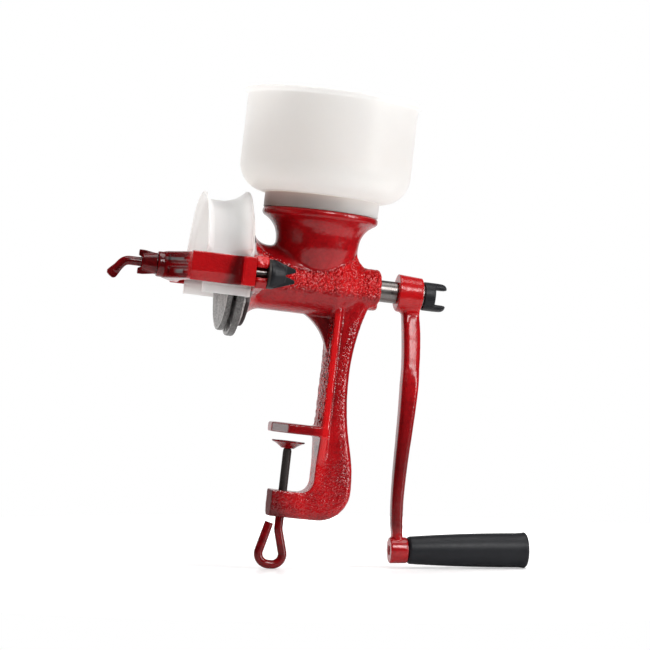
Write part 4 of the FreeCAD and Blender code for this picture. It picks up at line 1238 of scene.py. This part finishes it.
class MILL_OT_feed(PieceOperator, bpy.types.Operator):
    """Auger shaft with its drive pin and thrust ball"""

    bl_idname = "mill.feed"
    bl_label = "Auger Shaft"
    RADIUS = 9.5
    FRONT = SCREW_TIP + 5.55
    FLIGHT_START = -48.0
    TAIL = 6.3  # half the side of the square tail
    BALL = 4.0
    BALL_MIDDLE = SCREW_TIP + 4.05
    PIN_HALF = 17.0

    def make(self, mill):
        sizes = mill.plates
        steel = finish_for("steel")
        front, radius = self.FRONT, self.RADIUS
        outline = [(front, 0), (front, radius - 0.6), (front + 0.6, radius)]
        outline += [(HUB_FACE - 0.5, radius), (HUB_FACE, radius - 0.5), (HUB_FACE, 0)]
        back = Matrix.Translation((-self.FLIGHT_START, 0, 0))
        shaft = spun("auger", outline, ON_SHAFT @ back, soft=0.3)
        shaft.data.transform(Matrix.Translation(-SHAFT))
        shaft.data.transform(ALONG_X.inverted())
        grow(
            shaft,
            tree_for("helix"),
            Radius=radius * MM,
            Height=sizes.flight_radius - radius * MM,
            Root=5 * MM,
            Tip=2.6 * MM,
            Sink=2.5 * MM,
            Pitch=sizes.flight_pitch,
            Turns=sizes.flight_turns,
            Steps=96,
            Runout=0.04,
            Finish=steel,
        )
        shaft.data.transform(at_shaft(self.FLIGHT_START) @ ALONG_X)
        tail = bar("tail", self.TAIL, self.TAIL, HUB_FACE - 2, HUB_END - 1.5, ON_SHAFT)
        combine(shaft, bevel(tail, 0.6 * MM), "UNION")
        pin_place = self.pin_place()
        for name, outline, place, steps in (
            ("cup", self.ball(self.BALL + 0.05), ON_SHAFT, SPIN_STEPS),
            ("tapped", self.plain_rod(TAPPED, 99, STUD), ON_SHAFT, 40),
            ("pin_hole", self.plain_rod(-12, 12, PIN), pin_place, 40),
        ):
            combine(shaft, spun(name, outline, place, soft=0.0, steps=steps), "DIFFERENCE")
        hand_in(shaft, steel, "spindle", "steel", "auger_shaft")
        outline = self.plain_rod(-self.PIN_HALF, self.PIN_HALF, PIN)
        pin = spun("drive_pin_dressed", outline, pin_place, soft=0.5, steps=40)
        hand_in(pin, steel, "spindle", "steel", "drive_pin")
        outline = self.ball(self.BALL)
        ball = spun("thrust_ball_dressed", outline, ON_SHAFT, soft=0.0, steps=48)
        hand_in(ball, steel, "thrust", "steel", "thrust_ball")

    @staticmethod
    def plain_rod(low, high, radius):
        return [(low, 0), (low, radius), (high, radius), (high, 0)]

    def ball(self, radius, steps=24):
        angles = [math.pi * step / steps for step in range(steps + 1)]
        round_points = [(radius * math.cos(a), radius * math.sin(a)) for a in angles]
        return [(self.BALL_MIDDLE - along, max(out, 0.0)) for along, out in round_points]

    @staticmethod
    def pin_place():
        across = Matrix.Rotation(math.pi / 2, 4, "Z")
        return ON_SHAFT @ Matrix.Translation((TURNING_FACE - 3, 0, 0)) @ across


class MILL_OT_guard(PieceOperator, bpy.types.Operator):
    """Milky guard over the plates, flared at both ends and hemmed at its feet"""

    bl_idname = "mill.guard"
    bl_label = "Guard"
    DROP = 21.0  # the feet's depth below the shaft axis
    HEM_TOP = -14.0
    HEM = 0.7
    FLARE_LOW, FLARE_FULL = 13.0, 17.0  # heights between which the flares come in
    ARCH_STEPS = 160
    FRONT_RIM, REAR_RIM = 67.3, 71.0  # radii of the flares' edges
    LIP, MOUTH = 6.5, 6.2  # length of the front flare outside and inside
    SWEEP = 24.8  # length of the rear flare
    SKIRT = 47.3  # hole that sits on the fixed plate's step
    ROUND = 0.5

    def make(self, mill):
        outer = mill.plastic.guard_radius / MM
        profile = self.profile(outer, outer - mill.plastic.wall / MM)
        shape = bmesh.new()
        rings = []
        for side, z, angle in self.stations():
            ring = [self.point(p, side, z, angle, outer) for p in profile]
            rings.append([shape.verts.new(point) for point in ring])
        for ring, after in zip(rings, rings[1:]):
            for index in range(len(profile)):
                ahead = (index + 1) % len(profile)
                shape.faces.new((ring[index], ring[ahead], after[ahead], after[index]))
        shape.faces.new(rings[0])
        shape.faces.new(rings[-1])
        piece = piece_from(shape, "guard", ON_SHAFT)
        x, y, z = shaft_xyz(coords(piece) / MM)
        # painted shade: greyer on the guard's inside and on its flared rims
        rims = ramp(x, GUARD_FRONT + 1.8, GUARD_FRONT + 0.6)
        rims += ramp(x, GUARD_BACK - 4.4, GUARD_BACK - 3.3)
        inside = 0.1 * (np.where(z > 0, np.hypot(y, z), np.abs(y)) < outer - 1)
        store(piece, "veil_and_painted_shade", inside + 0.2 * rims)
        hand_in(piece, finish_for("milky"), "mill_body", "milky_plastic", "plate_guard")

    def profile(self, outer, inner):
        """Points round the wall, each as (x, radius) of the flared and of the plain wall."""
        front, back, rim, rear = GUARD_FRONT, GUARD_BACK, self.FRONT_RIM, self.REAR_RIM
        skirt, edge, sweep = self.SKIRT, self.ROUND, back - self.SWEEP
        face = back - (outer - inner)  # inside of the back wall

        def curve(start, *how):
            return [start] + [tuple(p) for p in arc(start, *how)]

        points = [(front, rim - 0.6, front, outer - 0.6), (front + 0.6, rim, front + 0.6, outer)]
        lip = curve((front + 1.6, rim), (front + self.LIP, outer), -0.8, 6)
        rise = curve((sweep, outer), (back - 4.4, rear), -2.3, 16)
        points += [(x, radius, x, outer) for x, radius in lip + rise]
        hollow = [(back - 3.3, rear), (back - 2.8, rear - 0.5), (back - 2.8, rear - 1.4)]
        hollow += [(back - 4.6, rear - 2.4), (back - 5.8, outer + 1.4), (back - 4.2, outer)]
        for step, (x, radius) in enumerate(hollow):
            points.append((x, radius, back - 4.2 + 3.0 * step / len(hollow), outer))
        plain = [(back - edge, outer), (back, outer - edge), (back, skirt + edge)]
        plain += [(back - edge, skirt), (face + edge, skirt), (face, skirt + edge), (face, inner)]
        plain += [(back - 12, inner), (sweep, inner), (front + self.MOUTH, inner)]
        points += [place * 2 for place in plain]
        for x, radius in arc((front + self.MOUTH, inner), (front, rim - 1.4), 0.9, 6):
            points.append((x, radius, x, inner + 0.3 * (front + self.MOUTH - x) / self.MOUTH))
        return points

    def stations(self):
        """Side, height and angle of each cross-section, from foot to foot over the arch."""
        feet = [-self.DROP, -self.DROP + 0.4, self.HEM_TOP - 0.4, self.HEM_TOP, -4.0]
        for z in feet:
            yield 1, z, 0.0
        for step in range(self.ARCH_STEPS + 1):
            yield 0, 0.0, math.pi * step / self.ARCH_STEPS
        for z in reversed(feet):
            yield -1, z, math.pi

    def point(self, place, side, z, angle, outer):
        """Place of one profile point at a station."""
        height = z if side else outer * math.sin(angle)
        flare = (height - self.FLARE_LOW) / (self.FLARE_FULL - self.FLARE_LOW)
        flare = min(max(flare, 0.0), 1.0)
        flare = flare * flare * (3 - 2 * flare)
        x = place[2] + (place[0] - place[2]) * flare
        radius = place[3] + (place[1] - place[3]) * flare
        if side and z < self.HEM_TOP and radius > outer - 0.3:
            radius += self.HEM * (0.6 if z == -self.DROP else 1.0)
        if side:
            return x, side * radius, z
        return x, radius * math.cos(angle), radius * math.sin(angle)


class MILL_OT_yoke(PieceOperator, bpy.types.Operator):
    """Yoke with its studs, washers and wing nuts"""

    bl_idname = "mill.yoke"
    bl_label = "Yoke"
    CHEEK_FRONT = -116.2
    BLOCK_FRONT = -73.2
    STUD_AWAY = 72.0  # from the shaft axis
    STUD_LENGTH = 36.2
    STUD_FOOT = BODY_FRONT - 11
    WASHER_RADIUS = 12.5
    GROOVE = 5.4  # height of the grooves' middle above and below the shaft axis

    def make(self, mill):
        piece = cad_copy("yoke", "yoke_casting")
        sizes = mill.casting
        corners = cast_shape(piece, sizes.small_voxel, self.free, fillets=14, edges=3)
        points = coords(piece) / MM
        free = self.free(points)
        along = points[:, 0] - SHAFT.x / MM
        bars = ramp(along, self.CHEEK_FRONT, self.CHEEK_FRONT - 2)
        hug(piece, "yoke", bars * free)
        relax(piece, passes=5, weight=bars * free)
        lean = self.BLOCK_FRONT - 10 + 0.25 * (points[:, 2] - SHAFT.z / MM)
        cove = ramp(along, lean - 2, lean + 3) * (along < self.BLOCK_FRONT - 0.3)
        block = ramp(along, self.BLOCK_FRONT - 0.3, self.BLOCK_FRONT + 0.3)
        cheek = (1 - bars) * (along < lean - 2)
        # painted shade in inner corners, on the bars and in the cove before the block; painted
        # light on the block and the cheeks
        shade = np.maximum(corners, 0.8 * bars) + 0.9 * cove - 0.6 * block - 0.4 * cheek
        set_skin(piece, 0.15 * free, shade)
        # painted highlight: grey glints where the bars' grooves run out
        store(piece, "iron_grey_and_painted_glint", self.groove(points))
        grow_skin(piece, sizes, "mill_body", "yoke")
        for side, way in STUD_SIDES.items():
            self.fasteners(mill, side, Vector((0, way * self.STUD_AWAY * MM, 0)))

    @staticmethod
    def free(points):
        """0 in the screw's bore and at the stud blocks' seats."""
        x, y, z = shaft_xyz(points)
        bore = np.hypot(y, z) < KEPT_BORE
        seat = x > BODY_FRONT - 0.6
        return np.where(bore | seat, 0.0, 1.0)

    def groove(self, points):
        """Painted highlight: 1 where the bars' grooves run out on the cheeks."""
        x, _, z = shaft_xyz(points)
        front = self.CHEEK_FRONT
        upper = ramp(np.abs(z - self.GROOVE), 1.5, 1.0) * ramp(x, front - 16, front - 12)
        lower = ramp(np.abs(z + self.GROOVE), 1.9, 1.3) * ramp(x, front - 8, front - 6)
        return np.maximum(upper, lower) * ramp(x, front - 2.6, front - 3.2)

    def fasteners(self, mill, side, away):
        """Stud, washer and wing nut of one side."""
        steel = finish_for("steel")
        stud = threaded_rod("stud_" + side, self.STUD_LENGTH, steel)
        stud.data.transform(at_shaft(self.STUD_FOOT, away) @ ALONG_X)
        hand_in(stud, steel, "mill_body", "steel", "yoke_stud_" + side)
        place = Matrix.Translation(away) @ ON_SHAFT
        disc = washer("washer_" + side, NUT_SEAT - WASHER, self.WASHER_RADIUS, place)
        node = "yoke_washer_" + side
        hand_in(disc, finish_for("blackened"), node, "steel", node)
        node = "yoke_wing_nut_" + side
        nut = cad_copy(node, "wing_nut_" + side)
        cast_shape(nut, mill.casting.fine_voxel, everywhere, fillets=8, edges=3)
        hand_in(nut, finish_for("black"), node, "black_plastic", node)


class MILL_OT_adjuster(PieceOperator, bpy.types.Operator):
    """Adjusting screw with its bent lever, and its lock nut"""

    bl_idname = "mill.adjuster"
    bl_label = "Adjusting Screw"
    LEVER_TURN = YOKE_FRONT - 28  # where the lever bends down
    LEVER_SLOPE = math.radians(52)
    LEVER_BEND = 9.0
    PADDLE_HALF = 2.5

    def make(self, mill):
        red = finish_for("rod_red")
        fine = mill.casting.fine_voxel
        screw = threaded_rod("adjuster", SCREW_TIP - YOKE_FRONT - 4, finish_for("blackened"))
        screw.data.transform(at_shaft(SCREW_TIP) @ ALONG_X.inverted())
        turn = Vector((self.LEVER_TURN, 0))
        way = Vector((-math.cos(self.LEVER_SLOPE), -math.sin(self.LEVER_SLOPE)))
        path = [(YOKE_FRONT + 4.5, 0), tuple(turn), tuple(turn + way * 13)]
        lever = bent_rod("lever", path, [0, self.LEVER_BEND, 0], STUD, red)
        outline = [(-5, 3.4), (3, 4.7), (6, 4.9), (8, 3.4), (8.4, 0)]
        outline = outline + [(u, -v) for u, v in reversed(outline[:-1])]
        side = Vector((-way.y, way.x))
        foot = turn + way * 11
        points = [foot + way * (u - 0.4) + side * v for u, v in outline]
        paddle = bmesh.new()
        prism(paddle, points, in_xz, -self.PADDLE_HALF, self.PADDLE_HALF)
        lever = together(lever, piece_from(paddle, "paddle", IN_FRAME))
        cast_shape(lever, fine, everywhere, fillets=10, edges=8)
        lever.data.materials.append(red)
        lever.data.transform(Matrix.Translation(SHAFT))
        hand_in(together(screw, lever), None, "adjuster", "red_paint", "adjusting_screw")
        nut = cad_copy("adjusting_lock_nut", "lock_nut_dressed")
        cast_shape(nut, fine, everywhere, fillets=10, edges=3)
        hand_in(nut, red, "lock_nut", "red_paint", "adjusting_lock_nut")


class MILL_OT_crank(PieceOperator, bpy.types.Operator):
    """Crank arm with the washer and wing screw that hold it"""

    bl_idname = "mill.crank"
    bl_label = "Crank"
    SLANT = 0.45  # of the arm's narrow sides
    SLANT_ROW = 0.004  # height of the rows in which the arm's middle is found
    EYE_SLOPE = 0.105  # of the bolt hole through the eye
    WASHER_RADIUS = 10.5
    STUD_LENGTH = 41.5

    def make(self, mill):
        piece = cad_copy("crank_arm", "crank")
        sizes = mill.casting
        corners = cast_shape(piece, sizes.small_voxel, self.free, fillets=22, edges=3)
        points = coords(piece) / MM
        drop = SHAFT.z / MM - points[:, 2]
        arm = band(drop, 18, 24, 202, 208)
        relax(piece, passes=50, weight=hill(drop, 19, 6) * self.free(points))
        self.slant(piece, band(drop, 16, 24, 64, 78))
        relax(piece, passes=20, weight=arm)
        swell(piece, 0.6 * arm)
        # painted shade in inner corners and down the lower arm; painted highlight on the hub
        shade = np.maximum(corners, 0.8 * band(drop, 75, 135, 202, 212)) - 0.6 * ramp(drop, 24, 14)
        set_skin(piece, 0.06 * self.free(coords(piece) / MM), shade)
        grow_skin(piece, sizes, "spindle", "crank_arm")
        steel = finish_for("steel")
        disc = washer("crank_washer_dressed", HUB_END, self.WASHER_RADIUS, ON_SHAFT)
        hand_in(disc, steel, "crank_washer", "steel", "crank_washer")
        head = cad_copy("crank_wing_head", "wing_head")
        cast_shape(head, sizes.fine_voxel, everywhere, fillets=8, edges=4)
        along = coords(head)[:, 0] / MM - SHAFT.x / MM
        relax(head, passes=70, weight=ramp(along, HUB_END + 12, HUB_END + 16))
        black = finish_for("black")
        hand_in(head, black, "crank_wing_screw", "black_plastic", "crank_wing_head")
        stud = threaded_rod("wing_screw", self.STUD_LENGTH, steel)
        stud.data.transform(at_shaft(TAPPED) @ ALONG_X)
        hand_in(stud, steel, "crank_wing_screw", "steel", "crank_screw_stud")

    def slant(self, piece, share):
        """Slants the arm's narrow sides outwards, by each point's share of the whole slant."""
        points = coords(piece)
        row = np.round(points[:, 2] / self.SLANT_ROW).astype(int)
        row -= row.min()
        middle = (np.bincount(row, points[:, 0]) / np.maximum(np.bincount(row), 1))[row]
        points[:, 1] += (points[:, 0] - middle) * self.SLANT * share
        set_coords(piece, points)

    def free(self, points):
        """0 in the square hole and the bolt hole."""
        _, y, z = shaft_xyz(points)
        square = np.maximum(np.abs(y), np.abs(z)) < 8
        rise = (points[:, 0] - EYE.x / MM) * self.EYE_SLOPE
        bolt = np.hypot(points[:, 1], points[:, 2] - EYE.z / MM - rise) < KEPT_BORE
        return np.where(square | bolt, 0.0, 1.0)


class MILL_OT_grip(PieceOperator, bpy.types.Operator):
    """Turning grip and the bolt it turns on"""

    bl_idname = "mill.grip"
    bl_label = "Grip"
    START, END = 8.05, 115.05  # of the grip, from the middle of the crank's eye
    BORE = 4.05
    HEAD = 7.0  # radius of the bolt's head
    HEAD_SEAT = END - 7.2

    def make(self, mill):
        tilt = Vector((1, 0, 0)).rotation_difference(GRIP_AXIS).to_matrix().to_4x4()
        place = Matrix.Translation(EYE) @ tilt @ IN_FRAME
        start, end, seat = self.START, self.END, self.HEAD_SEAT
        outline = [(start, self.BORE), (start, 10.2), (start + 1.8, 12.0)]
        outline += arc((start + 1.8, 12.0), (end - 9, 15.0), 0.8, 20)
        outline += arc((end - 9, 15.0), (end - 1.6, 15.8), -0.15, 6)
        outline += [(end, 14.2), (end, 7.3), (end - 7.5, 7.3), (end - 7.5, self.BORE)]
        grip = spun("grip_dressed", outline, place, soft=0.9, steps=128)
        hand_in(grip, finish_for("black"), "grip", "black_plastic", "grip")
        steel = finish_for("steel")
        outline = [(-4.75, 0), (-4.75, STUD - 0.6), (-4.15, STUD), (seat, STUD)]
        outline += [(seat, self.HEAD), (seat + 3.2, self.HEAD)]
        outline += arc((seat + 3.2, self.HEAD), (seat + 4.5, 4.5), 0.5, 5) + [(seat + 4.5, 0)]
        bolt = spun("grip_bolt_dressed", outline, place, soft=0.3, steps=48)
        combine(bolt, bar("bolt_slot", 9, 0.8, seat + 2.6, seat + 6, place), "DIFFERENCE")
        hand_in(bolt, steel, "spindle", "steel", "grip_bolt")


class MILL_OT_clamp(PieceOperator, bpy.types.Operator):
    """Clamp screw with its bent loop, and its swivel pad"""

    bl_idname = "mill.clamp"
    bl_label = "Clamp"
    THREAD_TOP, THREAD_FOOT = -13.35, -66.0
    SPIGOT, SPIGOT_TOP = 2.8, -9.35  # the stem that the pad swivels on
    LOOP = 3.8  # radius of the loop's rod
    LOOP_PATH = [(0, -65.5), (0, -84), (9.0, -114.8), (-17.6, -114.8), (-8.6, -78.5)]
    LOOP_BENDS = [0, 14, 9, 9, 0]
    PAD, PAD_TOP, PAD_BORE = 14.4, -6.8, 2.85

    def make(self, mill):
        red, dark = finish_for("rod_red"), finish_for("blackened")
        screw = threaded_rod("clamp_rod", self.THREAD_TOP - self.THREAD_FOOT, dark)
        screw.data.transform(Matrix.Translation((0, 0, self.THREAD_FOOT * MM)))
        low, high, radius = self.THREAD_TOP - 1, self.SPIGOT_TOP, self.SPIGOT
        outline = [(low, 0), (low, radius), (high, radius), (high, 0)]
        upright = IN_FRAME @ UPRIGHT
        combine(screw, spun("spigot", outline, upright, steps=40), "UNION")
        screw.data.materials.clear()
        screw.data.materials.append(dark)
        loop = bent_rod("loop", self.LOOP_PATH, self.LOOP_BENDS, self.LOOP, red, 40)
        bevel(loop, 0.7 * MM, 3)
        hand_in(together(screw, loop), None, "clamp_screw", "red_paint", "clamp_screw")
        rim, top, bore = self.PAD, self.PAD_TOP, self.PAD_BORE
        outline = [(0, top - 0.8), (10, top - 0.8), (10.8, top), (rim, top), (rim, top - 1.2)]
        outline += arc((rim, top - 1.2), (5.6, top - 6.5), -0.5, 6)
        outline += [(bore, top - 6.5), (bore, top - 2.5), (0, top - 2.5)]
        pad = spun("pad", standing(outline), upright, soft=0.35)
        hand_in(pad, red, "clamp_pad", "red_paint", "clamp_pad")


class MILL_OT_stage(PieceOperator, bpy.types.Operator):
    """Floor, lamps, surroundings and camera"""

    bl_idname = "mill.stage"
    bl_label = "Stage"
    AZIMUTH = math.radians(-10.0)
    RISE = math.radians(-1.7)
    ROLL = math.radians(6.6)
    DISTANCE = 2.5
    TARGET = Vector((0.012, 0.0, 0.109))
    FOCAL_PIXELS = 2875.0
    FRAME_PIXELS = 650.0
    TARGET_PIXEL = (317.3, 309.9)
    FLOOR_RADIUS = 0.62
    FLOOR_AWAY = Vector((0.08, 0.14, 0.0))  # middle of the floor from the loop's foot
    LOOP_FOOT_X = -0.0037
    GRIP_END, GRIP_RADIUS = 0.115, 0.0158  # of the grip's wide end, from the crank's eye
    GRIP_FOOT_IN = 0.0016  # from the grip's end to the place that it stands on

    def make(self, mill):
        scene = bpy.context.scene
        scene.view_settings.view_transform = "Standard"
        self.camera(scene)
        self.floor(mill.stage)
        self.surroundings(scene, mill.stage)
        look = mill.stage
        self.lamp("key", look.key, (1.6, -1.05, 0.75), size=0.6, tall=1.4)
        front = self.lamp("front", look.front, (0.38, -1.6, 1.2), size=0.75)
        front.visible_diffuse = False
        side = self.lamp("side", look.side, (-1.75, -0.3, 0.45), size=0.8)
        side.visible_glossy = False
        self.lamp("top", look.top, (0.0, -0.1, 1.8), size=1.3)

    def camera(self, scene):
        data = bpy.data.cameras.new("camera")
        camera = add_object("camera", data)
        level = math.cos(self.RISE)
        ahead = (-math.sin(self.AZIMUTH) * level, math.cos(self.AZIMUTH) * level)
        ahead = Vector((*ahead, -math.sin(self.RISE)))
        right = Vector((math.cos(self.AZIMUTH), math.sin(self.AZIMUTH), 0.0))
        up = right.cross(ahead)
        rolled_right = right * math.cos(self.ROLL) + up * math.sin(self.ROLL)
        rolled_up = up * math.cos(self.ROLL) - right * math.sin(self.ROLL)
        turn = Matrix((rolled_right, rolled_up, -ahead)).transposed().to_4x4()
        camera.matrix_world = Matrix.Translation(self.TARGET - ahead * self.DISTANCE) @ turn
        data.sensor_width = 36.0
        data.lens = self.FOCAL_PIXELS / self.FRAME_PIXELS * data.sensor_width
        middle = self.FRAME_PIXELS / 2
        data.shift_x = (middle - self.TARGET_PIXEL[0]) / self.FRAME_PIXELS
        data.shift_y = (self.TARGET_PIXEL[1] - middle) / self.FRAME_PIXELS
        data.clip_end = 200.0
        scene.camera = camera

    def floor(self, sizes):
        """Wide floor under the two points that the mill stands on: clamp loop and grip."""
        loop_low, grip_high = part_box("clamp_screw")[0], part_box("grip")[1]
        first = Vector((self.LOOP_FOOT_X, 0.0, loop_low.z))
        grip_foot = EYE.z + self.GRIP_END * GRIP_AXIS.z - self.GRIP_RADIUS * GRIP_AXIS.x
        last = Vector((grip_high.x - self.GRIP_FOOT_IN, 0.0, grip_foot))
        slope = (last - first).normalized()
        upward = Vector((-slope.z, 0.0, slope.x))
        shape = bmesh.new()
        bmesh.ops.create_circle(shape, cap_ends=True, segments=96, radius=self.FLOOR_RADIUS)
        mesh = bpy.data.meshes.new("floor")
        shape.to_mesh(mesh)
        shape.free()
        tilt = Vector((0, 0, 1)).rotation_difference(upward).to_matrix().to_4x4()
        middle = first + tilt @ self.FLOOR_AWAY
        mesh.transform(Matrix.Translation(middle) @ tilt)
        floor = add_object("floor", mesh)
        white = (1.0, 1.0, 1.0, 1.0)
        constants = {"Roughness": 0.35, "Specular IOR Level": 0.25, "Emission Color": white}
        look = Finish("pale_floor", constants)
        look.drive("Base Color", look.blend(look.noise(3.0), sizes.floor, toned(sizes.floor, 0.97)))
        _, seen = straight_rays(look.tree)
        inputs = {0: look.place, 1: middle}
        away = put(look.tree, "ShaderNodeVectorMath", inputs, operation="DISTANCE").outputs["Value"]
        glow = look.spread(away, (0.2, 0.5), (0.25, 1.0))
        look.drive("Emission Strength", look.maths("MULTIPLY", seen, glow))
        mesh.materials.append(look.material)

    def surroundings(self, scene, sizes):
        """White to the camera, with more light from behind the mill than from the front."""
        world = bpy.data.worlds.new("studio")
        world.use_nodes = True
        scene.world = world
        tree = world.node_tree
        shine = tree.nodes["Background"]
        shine.inputs["Color"].default_value = (1.0, 1.0, 1.0, 1.0)
        rays, seen = straight_rays(tree)
        way = put(tree, "ShaderNodeTexCoord").outputs["Generated"]
        behind = put(tree, "ShaderNodeSeparateXYZ", {0: way}).outputs["Y"]
        mirrored = spread(tree, behind, (0.7, 0.93), (0.02, 1.0))
        around = spread(tree, behind, (0.1, 0.8), (sizes.world, 1.3))
        light = put(tree, "ShaderNodeMix", {0: rays["Is Glossy Ray"], 2: around, 3: mirrored})
        light = put(tree, "ShaderNodeMix", {0: seen, 2: light, 3: 1.0})
        tree.links.new(light.outputs[0], shine.inputs["Strength"])

    def lamp(self, name, watts, place, size, tall=None):
        """Area lamp that points at the mill: a disc, or a rectangle where tall is given."""
        data = bpy.data.lights.new(name, "AREA")
        data.energy = watts
        data.shape = "RECTANGLE" if tall else "DISK"
        data.size = size
        data.size_y = tall or size
        lamp = add_object(name, data)
        lamp.location = place
        aim = self.TARGET - Vector(place)
        lamp.rotation_euler = aim.to_track_quat("-Z", "Y").to_euler()
        return lamp


class MILL_PT_panel(bpy.types.Panel):
    """Lists the pieces of the mill"""

    bl_idname = "MILL_PT_panel"
    bl_label = "Hand Grain Mill"
    bl_space_type = "VIEW_3D"
    bl_region_type = "UI"
    bl_category = "Mill"

    def draw(self, context):
        column = self.layout.column()
        for operator in OPERATORS:
            column.operator(operator.bl_idname)
        for group in context.scene.mill.bl_rna.properties.keys():
            sizes = getattr(context.scene.mill, group)
            if isinstance(sizes, bpy.types.PropertyGroup):
                for name in sizes.__annotations__:
                    column.prop(sizes, name)


OPERATORS = (
    MILL_OT_casting,
    MILL_OT_hopper,
    MILL_OT_plates,
    MILL_OT_feed,
    MILL_OT_guard,
    MILL_OT_yoke,
    MILL_OT_adjuster,
    MILL_OT_crank,
    MILL_OT_grip,
    MILL_OT_clamp,
    MILL_OT_stage,
)
GROUPS = (MillCasting, MillThread, MillPlates, MillPlastic, MillColours, MillStage, MillSettings)
CLASSES = GROUPS + OPERATORS + (MILL_PT_panel,)


def register():
    for kind in CLASSES:
        bpy.utils.register_class(kind)
    bpy.types.Scene.mill = PointerProperty(type=MillSettings)


def unregister():
    del bpy.types.Scene.mill
    for kind in reversed(CLASSES):
        bpy.utils.unregister_class(kind)


def main():
    register()
    for operator in OPERATORS:
        family, name = operator.bl_idname.split(".")
        getattr(getattr(bpy.ops, family), name)()


if __name__ == "__main__":
    main()
